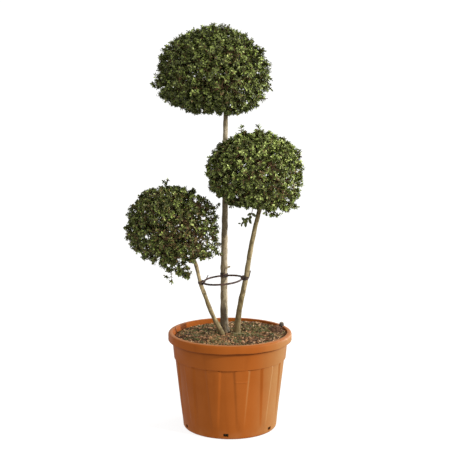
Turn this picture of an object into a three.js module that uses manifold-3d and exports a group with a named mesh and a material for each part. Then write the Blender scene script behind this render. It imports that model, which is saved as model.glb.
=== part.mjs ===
// A potted privet trained as three clipped balls on three stems, in a ribbed plastic pot.
// Millimetres, +Z up, the origin at the centre of the pot's flat underside, the front towards -Y.
import * as THREE from 'three';
import { mergeVertices } from 'three/addons/utils/BufferGeometryUtils.js';
import Module from 'manifold-3d';

const wasm = await Module();
wasm.setup();

// Clearance kept between pieces that touch, and the distance within which two vertices are one
const GAP = 0.3;
const MERGE_DISTANCE = 1e-3;

// Pot: a tapering body with raised panels, a plain collar and a turned-down rim
const POT_HEIGHT = 351;
const POT_SIDES = 60;
const POT_WALL = 4;
const POT_FLOOR = 5;
const FLOOR_CORNER = 8;
const BASE_RADIUS = 171;
const BASE_CHAMFER = 4;
const BODY_TOP_RADIUS = 196;
const BODY_TOP = 256;
const COLLAR_BOTTOM = 258;
const COLLAR_BOTTOM_RADIUS = 204;
const COLLAR_TOP_RADIUS = 212;
const RIM_RADIUS = 225;
const RIM_BOTTOM = 321.5;
const RIM_UNDERSIDE = 343;
const LIP_RADIUS = 8;
const LIP_INNER_EDGE = 3;
const ARC_DIVISIONS = 2;

// Raised panels on the body, widest at the top, and the drain slots between every second pair
const PANEL_COUNT = 12;
const PANEL_CENTRE = 12;
const PANEL_RISE = 4.2;
const PANEL_BOTTOM = 34;
const PANEL_HALF_WIDTH_TOP = 8;
const PANEL_HALF_WIDTH_BOTTOM = 4;
const PANEL_EDGE = 3;
const BODY_RINGS = 3;
const DRAIN_COUNT = 6;
const DRAIN_CENTRE = -5;
const DRAIN_WIDTH = 19;
const DRAIN_HEIGHT = 10;
const DRAIN_MIDDLE = 16;
const DRAIN_DEPTH = 24;

// Soil: a low mound with a level crown that the stems stand on, and an edge that is higher to one side
const SOIL_TOP = 341;
const SOIL_EDGE = 333;
const SOIL_TILT = 9;
const SOIL_HIGH_SIDE = 110;
const SOIL_CROWN_RADIUS = 62;
const SOIL_LUMP = 3;
const SOIL_LUMPS_ROUND = 4;
const SOIL_LUMP_PITCH = 20;
const SOIL_SIDES = 30;
const SOIL_RINGS = 3;

// Stems: centre lines from the soil to the tip inside a ball, with girths at the foot and the tip
const LIMB_SIDES = 8;
const LIMB_STEPS = 14;
const TRUNK_STEPS = 20;
const FLARE_HEIGHT = 22;
const FLARE_LOBES = 3;
const FLARE_LOBE_DEPTH = 0.35;
const AXIS_SAMPLES = 120;
const TRUNK = {
  route: [
    [-21, 24, SOIL_TOP + GAP], [-21.7, 24, 470], [-20.5, 24, 650],
    [-17.5, 24, 830], [-16.8, 24, 1060], [-14.5, 24, 1170],
  ],
  footRadius: 13.8,
  tipRadius: 7.8,
  flare: 0.55,
};
const LEFT_STEM = {
  route: [
    [-27, -15, SOIL_TOP + GAP], [-66, -32, 425], [-84.5, -47, 478],
    [-106, -63, 543], [-120, -75, 606], [-136, -84, 655],
  ],
  footRadius: 8.6,
  tipRadius: 5.8,
  flare: 0.3,
};
const RIGHT_STEM = {
  route: [
    [25, 8, SOIL_TOP + GAP], [32, -17, 421], [41, -37, 478], [56.3, -63, 558],
    [71.5, -84, 661], [88.5, -98, 750], [107, -106, 826],
  ],
  footRadius: 10.6,
  tipRadius: 7.2,
  flare: 0.35,
};
const STUB = { foot: [-21, 24, 574], tip: [1, 19, 586], footRadius: 4.4, tipRadius: 2.7 };

// Training ring between the stems, and the lashings that tie the stems to it
const RING_CENTRE = [-25.5, -61, 551];
const RING_RADIUS = 69;
const RING_THICKNESS = 6.6;
const RING_TILT_FRONT = 2.6;
const RING_TILT_LEFT = 6;
const RING_STEPS = 28;
const RING_SIDES = 6;
const TIE_THICKNESS = 4.2;
const TIE_HEIGHT = 18;
const TIE_TAIL_LENGTH = 26;
const TIE_TAIL_RADIUS = 1.6;
const TIE_SIDES = 6;

// Watering peg in the soil beside the rim
const PEG_PLACE = [191, 44];
const PEG_HEAD_RADIUS = 9;
const PEG_HEAD_HEIGHT = 14;
const PEG_HEAD_BAND = 5;
const PEG_HEAD_SINK = 2;
const PEG_STEM_RADIUS = 3;
const PEG_STEM_TOP = 362;
const PEG_DEPTH = 36;
const PEG_SIDES = 12;

// Clipped balls: half sizes above and below the centre, how square the lower half is, how far it is
// pushed along X, the shoots left long with their tips, the swellings of the skin with their way, rise
// and width, and the growth seed
const BALLS = [
  {
    name: 'ball_top',
    centre: [-64, 24, 1279],
    radius: 207,
    up: 172,
    down: 140,
    square: 2.6,
    push: 0,
    twigs: 35,
    seed: 11,
    stem: TRUNK,
    strays: [[146, 20, 1224], [-274, 22, 1238]],
    bulges: [[[0.6, -0.35, -0.72], 0.08, 0.42], [[-0.62, -0.2, 0.75], -0.065, 0.5], [[-1, 0, 0], -0.035, 0.4]],
  },
  {
    name: 'ball_right',
    centre: [83, -105, 938],
    radius: 172,
    up: 148,
    down: 136,
    square: 2.3,
    push: 30,
    twigs: 28,
    seed: 23,
    stem: RIGHT_STEM,
    strays: [[36, -132, 763], [-2, -122, 820], [37, -105, 1094], [96, -105, 1096], [148, -125, 794]],
    bulges: [
      [[0.7, -0.2, -0.68], 0.05, 0.4], [[-0.62, -0.2, 0.75], -0.12, 0.4], [[-0.62, -0.3, -0.72], -0.06, 0.38],
      [[-0.2, -0.2, -0.95], -0.12, 0.4], [[1, 0, 0.05], -0.035, 0.24], [[-0.9, -0.1, 0.42], -0.045, 0.3],
    ],
  },
  {
    name: 'ball_left',
    centre: [-204, -95, 754],
    radius: 166,
    up: 138,
    down: 132,
    square: 2.2,
    push: 0,
    twigs: 26,
    seed: 37,
    stem: LEFT_STEM,
    strays: [
      [-147, -132, 575], [-204, -132, 552], [-218, -122, 604], [-223, -95, 896], [-178, -130, 590],
    ],
    bulges: [
      [[0.8, -0.1, -0.6], 0.2, 0.42], [[0.93, -0.15, 0.33], 0.09, 0.3],
      [[0.5, -0.1, 0.85], -0.1, 0.35], [[-0.2, -0.3, -0.93], 0.12, 0.36],
    ],
  },
];
const CORE_SHARE = 0.76;
const CORE_DETAIL = 2;
const LUMP_SIZE = 0.045;
const LUMP_PITCH = 5;
const HEART_SHARE = 0.45;
const INNER_STEPS = 4;
const BOUGH_COUNT = 9;
const BOUGH_SHARE = 0.55;
const BOUGH_RADIUS = 5;
const TWIG_SHARE = 0.83;
const TWIG_RADIUS = 4;
const TWIG_TIP_RADIUS = 3;
const TWIG_SIDES = 3;
const DIRECTION_JITTER = 0.1;
const GOLDEN_ANGLE = Math.PI * (3 - Math.sqrt(5));
const SPACE_SHARE = 1.06;
const LIMB_CLEARANCE = 3;

// Leaves: each stands for a small spray, in opposite pairs below one at the end of the twig, with the
// length as a share of the ball's radius, or in millimetres on the long shoots
const LEAF_SHARE = 0.27;
const END_LEAF_SHARE = 0.2;
const STRAY_LEAF_LENGTH = 34;
const STRAY_END_LEAF_LENGTH = 22;
const LEAF_ASPECT = 0.64;
const LEAF_THICKNESS = 0.07;
const LEAF_SINK = 1;
const LEAF_SPREAD = 62;
const LEAF_LENGTH_RANGE = [0.9, 1.1];
const PAIR_SHARES = [0.86];
const STRAY_PAIR_SHARES = [0.6, 0.74, 0.88];

const COLOURS = {
  pot: 0xa55a26,
  soil: 0x69553a,
  trunk: 0x9b8f7d,
  stem: 0x8d8468,
  ring: 0x3b2a20,
  tie: 0x2a2521,
  peg: 0x1b1b1d,
  ball_top: 0x4f6a26,
  ball_right: 0x6b8834,
  ball_left: 0x6f8a35,
};

const degrees = THREE.MathUtils.degToRad;
const vector = (values) => new THREE.Vector3(...values);

// Repeatable random numbers from 0 to 1
function seededRandom(seed) {
  let state = seed;
  return () => {
    state = (state + 0x6d2b79f5) | 0;
    let mixed = Math.imul(state ^ (state >>> 15), 1 | state);
    mixed = (mixed + Math.imul(mixed ^ (mixed >>> 7), 61 | mixed)) ^ mixed;
    return ((mixed ^ (mixed >>> 14)) >>> 0) / 4294967296;
  };
}

// Geometry with shared vertices, no collapsed triangles and its faces pointing out
function closedGeometry(source) {
  const bare = source.clone();
  bare.deleteAttribute('normal');
  bare.deleteAttribute('uv');
  const merged = mergeVertices(bare, MERGE_DISTANCE);
  const corners = merged.index.array;
  const kept = [];
  let volume = 0;
  const [a, b, c] = [new THREE.Vector3(), new THREE.Vector3(), new THREE.Vector3()];
  for (let i = 0; i < corners.length; i += 3) {
    const [p, q, r] = [corners[i], corners[i + 1], corners[i + 2]];
    if (p === q || q === r || r === p) continue;
    kept.push(p, q, r);
    a.fromBufferAttribute(merged.attributes.position, p);
    b.fromBufferAttribute(merged.attributes.position, q);
    c.fromBufferAttribute(merged.attributes.position, r);
    volume += a.dot(b.cross(c));
  }
  merged.setIndex(volume < 0 ? kept.reverse() : kept);
  return merged;
}

function solidOf(geometry) {
  const closed = closedGeometry(geometry);
  return new wasm.Manifold(new wasm.Mesh({
    numProp: 3,
    vertProperties: new Float32Array(closed.attributes.position.array),
    triVerts: new Uint32Array(closed.index.array),
  }));
}

function geometryOf(solid) {
  const mesh = solid.getMesh();
  const geometry = new THREE.BufferGeometry();
  geometry.setAttribute('position', new THREE.BufferAttribute(mesh.vertProperties, mesh.numProp));
  geometry.setIndex(new THREE.BufferAttribute(mesh.triVerts, 1));
  return geometry;
}

// The largest piece of a fused solid, with any scrap and any sealed hollow left out
function largestPiece(solid) {
  const pieces = solid.decompose();
  return pieces.reduce((best, piece) => (piece.volume() > best.volume() ? piece : best));
}

// Lathe about +Z whose angle 0 is the front and grows to the right
function latheGeometry(profile, sides) {
  const geometry = new THREE.LatheGeometry(profile, sides);
  geometry.rotateX(Math.PI / 2);
  return geometry;
}

function angleFromFront(x, y) {
  return Math.atan2(x, -y);
}

function bodyRadius(height) {
  const share = (height - BASE_CHAMFER) / (BODY_TOP - BASE_CHAMFER);
  return THREE.MathUtils.lerp(BASE_RADIUS, BODY_TOP_RADIUS, share);
}

// Inside of the pot's wall: it follows the body, steps out under the collar and follows that to the lip
const INSIDE_BOTTOM = POT_FLOOR + FLOOR_CORNER;
const INSIDE_BOTTOM_RADIUS = bodyRadius(INSIDE_BOTTOM) - POT_WALL;
const INSIDE_BODY_TOP_RADIUS = BODY_TOP_RADIUS - POT_WALL;
const INSIDE_STEP = COLLAR_BOTTOM + POT_WALL;
const INSIDE_STEP_RADIUS = COLLAR_BOTTOM_RADIUS - POT_WALL;
const INSIDE_TOP_RADIUS = COLLAR_TOP_RADIUS - POT_WALL;

// Inside radius between the step and the lip
function insideRadius(height) {
  const share = (height - INSIDE_STEP) / (RIM_UNDERSIDE - INSIDE_STEP);
  return THREE.MathUtils.lerp(INSIDE_STEP_RADIUS, INSIDE_TOP_RADIUS, share);
}

// Section through half the pot: up the outside, round the rim and down the inside
function potProfile() {
  const path = new THREE.Path();
  path.moveTo(0, 0);
  path.lineTo(BASE_RADIUS - BASE_CHAMFER, 0);
  path.lineTo(BASE_RADIUS, BASE_CHAMFER);
  for (let ring = 0; ring <= BODY_RINGS; ring += 1) {
    const height = THREE.MathUtils.lerp(PANEL_BOTTOM, BODY_TOP, ring / BODY_RINGS);
    path.lineTo(bodyRadius(height), height);
  }
  path.lineTo(COLLAR_BOTTOM_RADIUS, COLLAR_BOTTOM);
  path.lineTo(COLLAR_TOP_RADIUS, RIM_UNDERSIDE);
  path.lineTo(RIM_RADIUS - POT_WALL, RIM_UNDERSIDE);
  path.lineTo(RIM_RADIUS - POT_WALL, RIM_BOTTOM);
  path.lineTo(RIM_RADIUS, RIM_BOTTOM);
  path.absarc(RIM_RADIUS - LIP_RADIUS, POT_HEIGHT - LIP_RADIUS, LIP_RADIUS, 0, Math.PI / 2, false);
  path.lineTo(INSIDE_TOP_RADIUS + LIP_INNER_EDGE, POT_HEIGHT);
  path.lineTo(INSIDE_TOP_RADIUS, RIM_UNDERSIDE);
  path.lineTo(INSIDE_STEP_RADIUS, INSIDE_STEP);
  path.lineTo(INSIDE_BODY_TOP_RADIUS, BODY_TOP);
  path.lineTo(INSIDE_BOTTOM_RADIUS, INSIDE_BOTTOM);
  path.lineTo(INSIDE_BOTTOM_RADIUS - FLOOR_CORNER, POT_FLOOR);
  path.lineTo(0, POT_FLOOR);
  return path.getPoints(ARC_DIVISIONS);
}

// How far the raised panels stand out from the body at an angle and a height
function panelRise(angle, height) {
  const along = THREE.MathUtils.clamp((height - PANEL_BOTTOM) / (BODY_TOP - PANEL_BOTTOM), 0, 1);
  const pitch = 360 / PANEL_COUNT;
  const turned = THREE.MathUtils.radToDeg(angle) - PANEL_CENTRE;
  const fromCentre = Math.abs(turned - pitch * Math.round(turned / pitch));
  const halfWidth = THREE.MathUtils.lerp(PANEL_HALF_WIDTH_BOTTOM, PANEL_HALF_WIDTH_TOP, along);
  const inside = 1 - THREE.MathUtils.smoothstep(fromCentre, halfWidth - PANEL_EDGE, halfWidth + PANEL_EDGE);
  return PANEL_RISE * Math.sqrt(along) * inside;
}

function raisePanels(geometry) {
  const place = geometry.attributes.position;
  for (let i = 0; i < place.count; i += 1) {
    const [x, y, z] = [place.getX(i), place.getY(i), place.getZ(i)];
    const radius = Math.hypot(x, y);
    const onBody = z >= PANEL_BOTTOM && z <= BODY_TOP + GAP && radius > bodyRadius(z) - POT_WALL / 2;
    if (!onBody) continue;
    const grown = 1 + panelRise(angleFromFront(x, y), z) / radius;
    place.setXY(i, x * grown, y * grown);
  }
}

// Slots through the foot of the wall, all round
function drainSlots() {
  const slots = [];
  for (let i = 0; i < DRAIN_COUNT; i += 1) {
    const angle = degrees(DRAIN_CENTRE + (360 / DRAIN_COUNT) * i);
    const slot = new THREE.BoxGeometry(DRAIN_WIDTH, DRAIN_DEPTH, DRAIN_HEIGHT);
    slot.translate(0, -bodyRadius(DRAIN_MIDDLE), DRAIN_MIDDLE);
    slot.rotateZ(angle);
    slots.push(solidOf(slot));
  }
  return wasm.Manifold.union(slots);
}

function potGeometry() {
  const shell = latheGeometry(potProfile(), POT_SIDES);
  raisePanels(shell);
  return geometryOf(solidOf(shell).subtract(drainSlots()));
}

// A domed head on a round stem pushed into the soil
function pegSolid(clearance) {
  const stemLength = PEG_STEM_TOP - (SOIL_TOP - PEG_DEPTH);
  const stemRadius = PEG_STEM_RADIUS + clearance;
  const stem = new THREE.CylinderGeometry(stemRadius, stemRadius, stemLength + 2 * clearance, PEG_SIDES);
  stem.rotateX(Math.PI / 2);
  stem.translate(...PEG_PLACE, PEG_STEM_TOP - stemLength / 2);
  const dome = [
    new THREE.Vector2(0, 0),
    new THREE.Vector2(PEG_HEAD_RADIUS, 0),
  ];
  const crown = new THREE.Path();
  const crownHeight = PEG_HEAD_HEIGHT - PEG_HEAD_BAND;
  crown.absellipse(0, PEG_HEAD_BAND, PEG_HEAD_RADIUS, crownHeight, 0, Math.PI / 2, false, 0);
  const head = latheGeometry([...dome, ...crown.getPoints(ARC_DIVISIONS)], PEG_SIDES);
  head.translate(...PEG_PLACE, PEG_STEM_TOP - PEG_HEAD_SINK);
  return solidOf(stem).add(solidOf(head));
}

// Mound with a level crown and a tilted edge, filled down to the floor, with a hole for the peg
function soilGeometry() {
  const inset = 2 * GAP;
  const bottomRadius = INSIDE_BOTTOM_RADIUS - inset;
  const edgeRadius = insideRadius(SOIL_EDGE) - inset;
  const profile = [
    new THREE.Vector2(0, POT_FLOOR + GAP),
    new THREE.Vector2(bottomRadius - FLOOR_CORNER, POT_FLOOR + GAP),
    new THREE.Vector2(bottomRadius, INSIDE_BOTTOM + GAP),
    new THREE.Vector2(INSIDE_BODY_TOP_RADIUS - inset, BODY_TOP),
    new THREE.Vector2(INSIDE_STEP_RADIUS - inset, INSIDE_STEP),
    new THREE.Vector2(edgeRadius, SOIL_EDGE),
  ];
  for (let ring = 1; ring <= SOIL_RINGS; ring += 1) {
    const share = ring / SOIL_RINGS;
    const radius = THREE.MathUtils.lerp(edgeRadius, SOIL_CROWN_RADIUS, share);
    profile.push(new THREE.Vector2(radius, THREE.MathUtils.lerp(SOIL_EDGE, SOIL_TOP, Math.sqrt(share))));
  }
  profile.push(new THREE.Vector2(0, SOIL_TOP));
  const mound = latheGeometry(profile, SOIL_SIDES);
  const place = mound.attributes.position;
  for (let i = 0; i < place.count; i += 1) {
    const [x, y, z] = [place.getX(i), place.getY(i), place.getZ(i)];
    const radius = Math.hypot(x, y);
    if (z < SOIL_EDGE - GAP || radius < SOIL_CROWN_RADIUS + 1) continue;
    const angle = angleFromFront(x, y);
    const share = (edgeRadius - radius) / (edgeRadius - SOIL_CROWN_RADIUS);
    const tilt = SOIL_TILT * Math.cos(angle - degrees(SOIL_HIGH_SIDE)) * (1 - share);
    const lump = share > 0.01 ? SOIL_LUMP * Math.sin(SOIL_LUMPS_ROUND * angle + radius / SOIL_LUMP_PITCH) : 0;
    const grown = share > 0.01 ? 1 : (insideRadius(z + tilt) - inset) / radius;
    place.setXYZ(i, x * grown, y * grown, z + tilt + lump);
  }
  return geometryOf(solidOf(mound).subtract(pegSolid(GAP)));
}

// Round tapering limb along a curve, whose radius depends on the share of its length and the angle
function limbGeometry(curve, girth, sides, steps) {
  const geometry = new THREE.CylinderGeometry(1, 1, 1, sides, steps);
  const frames = curve.computeFrenetFrames(steps);
  const place = geometry.attributes.position;
  const point = new THREE.Vector3();
  for (let i = 0; i < place.count; i += 1) {
    const step = Math.round((place.getY(i) + 0.5) * steps);
    const [across, away] = [place.getX(i), place.getZ(i)];
    const radius = girth(step / steps, Math.atan2(across, away));
    curve.getPointAt(step / steps, point);
    point.addScaledVector(frames.normals[step], across * radius);
    point.addScaledVector(frames.binormals[step], -away * radius);
    place.setXYZ(i, point.x, point.y, point.z);
  }
  return geometry;
}

function stemCurve(stem) {
  return new THREE.CatmullRomCurve3(stem.route.map(vector), false, 'centripetal');
}

// Girth of a stem: an even taper, with a lobed flare at the foot
function stemGirth(stem, clearance) {
  const length = stemCurve(stem).getLength();
  return (share, angle) => {
    const taper = THREE.MathUtils.lerp(stem.footRadius, stem.tipRadius, share);
    const lobes = 1 + FLARE_LOBE_DEPTH * Math.cos(FLARE_LOBES * angle);
    const flare = stem.flare * lobes * Math.exp((-share * length) / FLARE_HEIGHT);
    return taper * (1 + flare) + clearance;
  };
}

// A stem with its foot cut level where it meets the soil
function stemSolid(stem, steps, clearance = 0) {
  const geometry = limbGeometry(stemCurve(stem), stemGirth(stem, clearance), LIMB_SIDES, steps);
  const place = geometry.attributes.position;
  const ground = stem.route[0][2];
  const footEnd = -0.5 + 0.5 / steps;
  const rows = new THREE.CylinderGeometry(1, 1, 1, LIMB_SIDES, steps).attributes.position;
  for (let i = 0; i < place.count; i += 1) {
    if (rows.getY(i) < footEnd) place.setZ(i, ground);
  }
  return solidOf(geometry);
}

function trunkSolid(clearance = 0) {
  const curve = new THREE.LineCurve3(vector(STUB.foot), vector(STUB.tip));
  const girth = (share) => THREE.MathUtils.lerp(STUB.footRadius, STUB.tipRadius, share) + clearance;
  const stub = limbGeometry(curve, girth, LIMB_SIDES, 1);
  return stemSolid(TRUNK, TRUNK_STEPS, clearance).add(solidOf(stub));
}

function ringSolid(clearance) {
  const torus = new THREE.TorusGeometry(RING_RADIUS, RING_THICKNESS / 2 + clearance, RING_SIDES, RING_STEPS);
  torus.rotateX(degrees(RING_TILT_FRONT));
  torus.rotateY(degrees(-RING_TILT_LEFT));
  torus.translate(...RING_CENTRE);
  return solidOf(torus);
}

// Height of the tilted ring's middle plane over a place
function ringHeight(x, y) {
  const [middleX, middleY, middleZ] = RING_CENTRE;
  const front = Math.tan(degrees(RING_TILT_FRONT)) * (y - middleY);
  const left = Math.tan(degrees(RING_TILT_LEFT)) * (x - middleX);
  return middleZ + front + left;
}

// Share of a stem's length at which it passes the ring's plane
function ringCrossing(curve) {
  let best = 0;
  let least = Infinity;
  for (let i = 0; i <= AXIS_SAMPLES; i += 1) {
    const point = curve.getPointAt(i / AXIS_SAMPLES);
    const apart = Math.abs(point.z - ringHeight(point.x, point.y));
    if (apart >= least) continue;
    least = apart;
    best = i / AXIS_SAMPLES;
  }
  return best;
}

function sleeveSolid(middle, along, radius, length) {
  const foot = middle.clone().addScaledVector(along, -length / 2);
  const tip = middle.clone().addScaledVector(along, length / 2);
  return solidOf(limbGeometry(new THREE.LineCurve3(foot, tip), () => radius, TIE_SIDES, 1));
}

// Lashing where a stem crosses the ring: a sleeve on each, cut to fit round both, with a cut tail on the
// outer (1) or inner (-1) side
function tieGeometry(stem, grownStem, tailSide, tailLean) {
  const curve = stemCurve(stem);
  const ring = vector(RING_CENTRE);
  const share = ringCrossing(curve);
  const crossing = curve.getPointAt(share);
  const along = curve.getTangentAt(share);
  const outward = crossing.clone().sub(ring).setZ(0).normalize();
  const girth = THREE.MathUtils.lerp(stem.footRadius, stem.tipRadius, share);
  const sleeve = sleeveSolid(crossing, along, girth + TIE_THICKNESS, TIE_HEIGHT);
  const onRing = ring.clone().addScaledVector(outward, RING_RADIUS);
  onRing.z = ringHeight(onRing.x, onRing.y);
  const tangent = new THREE.Vector3(-outward.y, outward.x, 0);
  const cuff = sleeveSolid(onRing, tangent, RING_THICKNESS / 2 + TIE_THICKNESS, TIE_HEIGHT);
  const tailFoot = crossing.clone().addScaledVector(outward, tailSide * (girth + TIE_THICKNESS / 2));
  const tailTip = tailFoot.clone().add(new THREE.Vector3(tailLean, 0, TIE_TAIL_LENGTH));
  const tailCurve = new THREE.LineCurve3(tailFoot, tailTip);
  const tail = limbGeometry(tailCurve, () => TIE_TAIL_RADIUS, TIE_SIDES, 1);
  const lashing = wasm.Manifold.union([sleeve, cuff, solidOf(tail)]);
  const fitted = lashing.subtract(grownStem).subtract(ringSolid(GAP));
  return geometryOf(largestPiece(fitted));
}

// Distance from a ball's centre to its clipped skin along a unit direction
function skinReach(ball, direction) {
  const power = direction.z < 0 ? ball.square : 2;
  const level = Math.hypot(direction.x, direction.y) / ball.radius;
  const upright = Math.abs(direction.z) / (direction.z < 0 ? ball.down : ball.up);
  const smooth = (level ** power + upright ** power) ** (-1 / power);
  const lumps = Math.sin(LUMP_PITCH * direction.x + ball.seed)
    + Math.sin(LUMP_PITCH * direction.y + 2 * ball.seed)
    + Math.sin(LUMP_PITCH * direction.z + 3 * ball.seed);
  let swell = 1;
  for (const [way, rise, width] of ball.bulges) {
    const apart = 2 - 2 * vector(way).normalize().dot(direction);
    swell += rise * Math.exp(-apart / (width * width));
  }
  return smooth * swell * (1 + (LUMP_SIZE * lumps) / 3);
}

function pushAt(ball, rise) {
  const share = Math.max(0, -rise) / ball.down;
  return ball.push * share * share;
}

// Point at a share of the way from a ball's centre to its skin
function ballPoint(ball, direction, share) {
  const offset = direction.clone().multiplyScalar(skinReach(ball, direction) * share);
  offset.x += pushAt(ball, offset.z);
  return offset.add(vector(ball.centre));
}

// Share of the way to the skin at which a point lies
function skinShare(ball, point) {
  const offset = point.clone().sub(vector(ball.centre));
  offset.x -= pushAt(ball, offset.z);
  const distance = offset.length();
  return distance / skinReach(ball, offset.normalize());
}

// Directions spread evenly over a sphere, each turned a little at random
function spreadDirections(count, random) {
  const directions = [];
  for (let i = 0; i < count; i += 1) {
    const z = 1 - (2 * (i + 0.5)) / count;
    const level = Math.sqrt(1 - z * z);
    const turn = GOLDEN_ANGLE * i;
    const direction = new THREE.Vector3(level * Math.cos(turn), level * Math.sin(turn), z);
    direction.x += DIRECTION_JITTER * (random() - 0.5);
    direction.y += DIRECTION_JITTER * (random() - 0.5);
    direction.z += DIRECTION_JITTER * (random() - 0.5);
    directions.push(direction.normalize());
  }
  return directions;
}

function nearestTo(point, places) {
  return places.reduce((best, place) => (place.distanceTo(point) < best.distanceTo(point) ? place : best));
}

// Axis points of the stems with their girths, for keeping leaves clear of them
function limbSamples() {
  const samples = [];
  for (const stem of [TRUNK, LEFT_STEM, RIGHT_STEM]) {
    const girth = stemGirth(stem, 0);
    const points = stemCurve(stem).getSpacedPoints(AXIS_SAMPLES);
    points.forEach((point, i) => samples.push({ point, radius: girth(i / AXIS_SAMPLES, 0) }));
  }
  return samples;
}
const LIMB_SAMPLES = limbSamples();

function clearOfLimbs(point, halfWidth) {
  return LIMB_SAMPLES.every((sample) => (
    sample.point.distanceTo(point) > sample.radius + halfWidth + LIMB_CLEARANCE));
}

function twigSolid(foot, tip, footRadius, tipRadius) {
  const girth = (share) => THREE.MathUtils.lerp(footRadius, tipRadius, share);
  return solidOf(limbGeometry(new THREE.LineCurve3(foot, tip), girth, TWIG_SIDES, 1));
}

// Flat eight-faced leaf from its sunk root, or nothing where it would leave the space or touch a limb
function leafSolid(root, along, across, length, fits) {
  const width = LEAF_ASPECT * length;
  const start = root.clone().addScaledVector(along, -LEAF_SINK);
  const middle = start.clone().addScaledVector(along, length / 2);
  const tip = start.clone().addScaledVector(along, length);
  const left = middle.clone().addScaledVector(across, width / 2);
  const right = middle.clone().addScaledVector(across, -width / 2);
  const inSpace = [tip, left, right].every(fits);
  const clear = [start, middle, tip, left, right].every((point) => clearOfLimbs(point, width / 4));
  if (!inSpace || !clear) return null;
  const blade = new THREE.OctahedronGeometry(0.5, 0);
  blade.scale(length, width, LEAF_THICKNESS * length);
  blade.applyMatrix4(new THREE.Matrix4().makeBasis(along, across, along.clone().cross(across)));
  blade.translate(middle.x, middle.y, middle.z);
  return solidOf(blade);
}

// A twig with opposite leaves at the given shares of its length and one at its end
function leafyTwig(foot, tip, leaves, random) {
  const along = tip.clone().sub(foot).normalize();
  const helper = Math.abs(along.z) < 0.9 ? new THREE.Vector3(0, 0, 1) : new THREE.Vector3(1, 0, 0);
  const side = helper.cross(along).normalize().applyAxisAngle(along, Math.PI * random());
  const solids = [twigSolid(foot, tip, TWIG_RADIUS, TWIG_TIP_RADIUS)];
  const spread = degrees(LEAF_SPREAD);
  leaves.shares.forEach((share, pair) => {
    const root = foot.clone().lerp(tip, share);
    const outward = side.clone().applyAxisAngle(along, (pair * Math.PI) / 2);
    const across = along.clone().cross(outward);
    for (const sign of [1, -1]) {
      const direction = along.clone().multiplyScalar(Math.cos(spread));
      direction.addScaledVector(outward, sign * Math.sin(spread));
      const length = leaves.length * THREE.MathUtils.lerp(...LEAF_LENGTH_RANGE, random());
      solids.push(leafSolid(root, direction, across, length, leaves.fits));
    }
  });
  solids.push(leafSolid(tip, along, side, leaves.endLength, leaves.fits));
  return solids.filter(Boolean);
}

function coreSolid(ball) {
  const core = new THREE.IcosahedronGeometry(1, CORE_DETAIL);
  const place = core.attributes.position;
  const direction = new THREE.Vector3();
  for (let i = 0; i < place.count; i += 1) {
    direction.fromBufferAttribute(place, i).normalize();
    const point = ballPoint(ball, direction, CORE_SHARE);
    place.setXYZ(i, point.x, point.y, point.z);
  }
  return solidOf(core);
}

// The stem that carries on from a limb's tip into its ball
function innerStemSolid(stem, heart) {
  const limb = stemCurve(stem);
  const heading = limb.getTangentAt(1);
  const foot = limb.getPointAt(1).addScaledVector(heading, GAP);
  const knee = foot.clone().addScaledVector(heading, foot.distanceTo(heart) / 2);
  const girth = (share) => THREE.MathUtils.lerp(stem.tipRadius, BOUGH_RADIUS, share);
  const curve = new THREE.CatmullRomCurve3([foot, knee, heart]);
  return solidOf(limbGeometry(curve, girth, LIMB_SIDES, INNER_STEPS));
}

// Twigs that spread from the nearest bough's tip to just under the skin
function clippedTwigs(ball, boughs, random) {
  const leaves = {
    shares: PAIR_SHARES,
    length: LEAF_SHARE * ball.radius,
    endLength: END_LEAF_SHARE * ball.radius,
    fits: (point) => skinShare(ball, point) < SPACE_SHARE,
  };
  const solids = [];
  for (const way of spreadDirections(ball.twigs, random)) {
    const tip = ballPoint(ball, way, TWIG_SHARE);
    if (!clearOfLimbs(tip, TWIG_RADIUS)) continue;
    solids.push(...leafyTwig(nearestTo(tip, boughs), tip, leaves, random));
  }
  return solids;
}

// Shoots left long, whose end leaf reaches the stated tip
function strayTwigs(ball, random) {
  const leaves = {
    shares: STRAY_PAIR_SHARES,
    length: STRAY_LEAF_LENGTH,
    endLength: STRAY_END_LEAF_LENGTH,
    fits: () => true,
  };
  const solids = [];
  for (const reached of ball.strays.map(vector)) {
    const way = reached.clone().sub(vector(ball.centre)).normalize();
    const foot = ballPoint(ball, way, BOUGH_SHARE);
    const along = reached.clone().sub(foot).normalize();
    const tip = reached.clone().addScaledVector(along, -STRAY_END_LEAF_LENGTH);
    solids.push(...leafyTwig(foot, tip, leaves, random));
  }
  return solids;
}

// One clipped ball: a stem that carries on from its limb, boughs, leafy twigs and a dense core
function ballGeometry(ball) {
  const random = seededRandom(ball.seed);
  const heart = stemCurve(ball.stem).getPointAt(1).lerp(vector(ball.centre), HEART_SHARE);
  const boughs = spreadDirections(BOUGH_COUNT, random).map((way) => ballPoint(ball, way, BOUGH_SHARE));
  const solids = [
    coreSolid(ball),
    innerStemSolid(ball.stem, heart),
    ...boughs.map((tip) => twigSolid(heart, tip, BOUGH_RADIUS, TWIG_RADIUS)),
    ...clippedTwigs(ball, boughs, random),
    ...strayTwigs(ball, random),
  ];
  return geometryOf(largestPiece(wasm.Manifold.union(solids)));
}

function addPiece(group, name, geometry, colour, roughness) {
  const finish = { color: colour, roughness, metalness: 0 };
  const piece = new THREE.Mesh(geometry, new THREE.MeshStandardMaterial(finish));
  piece.name = name;
  group.add(piece);
}

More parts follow.
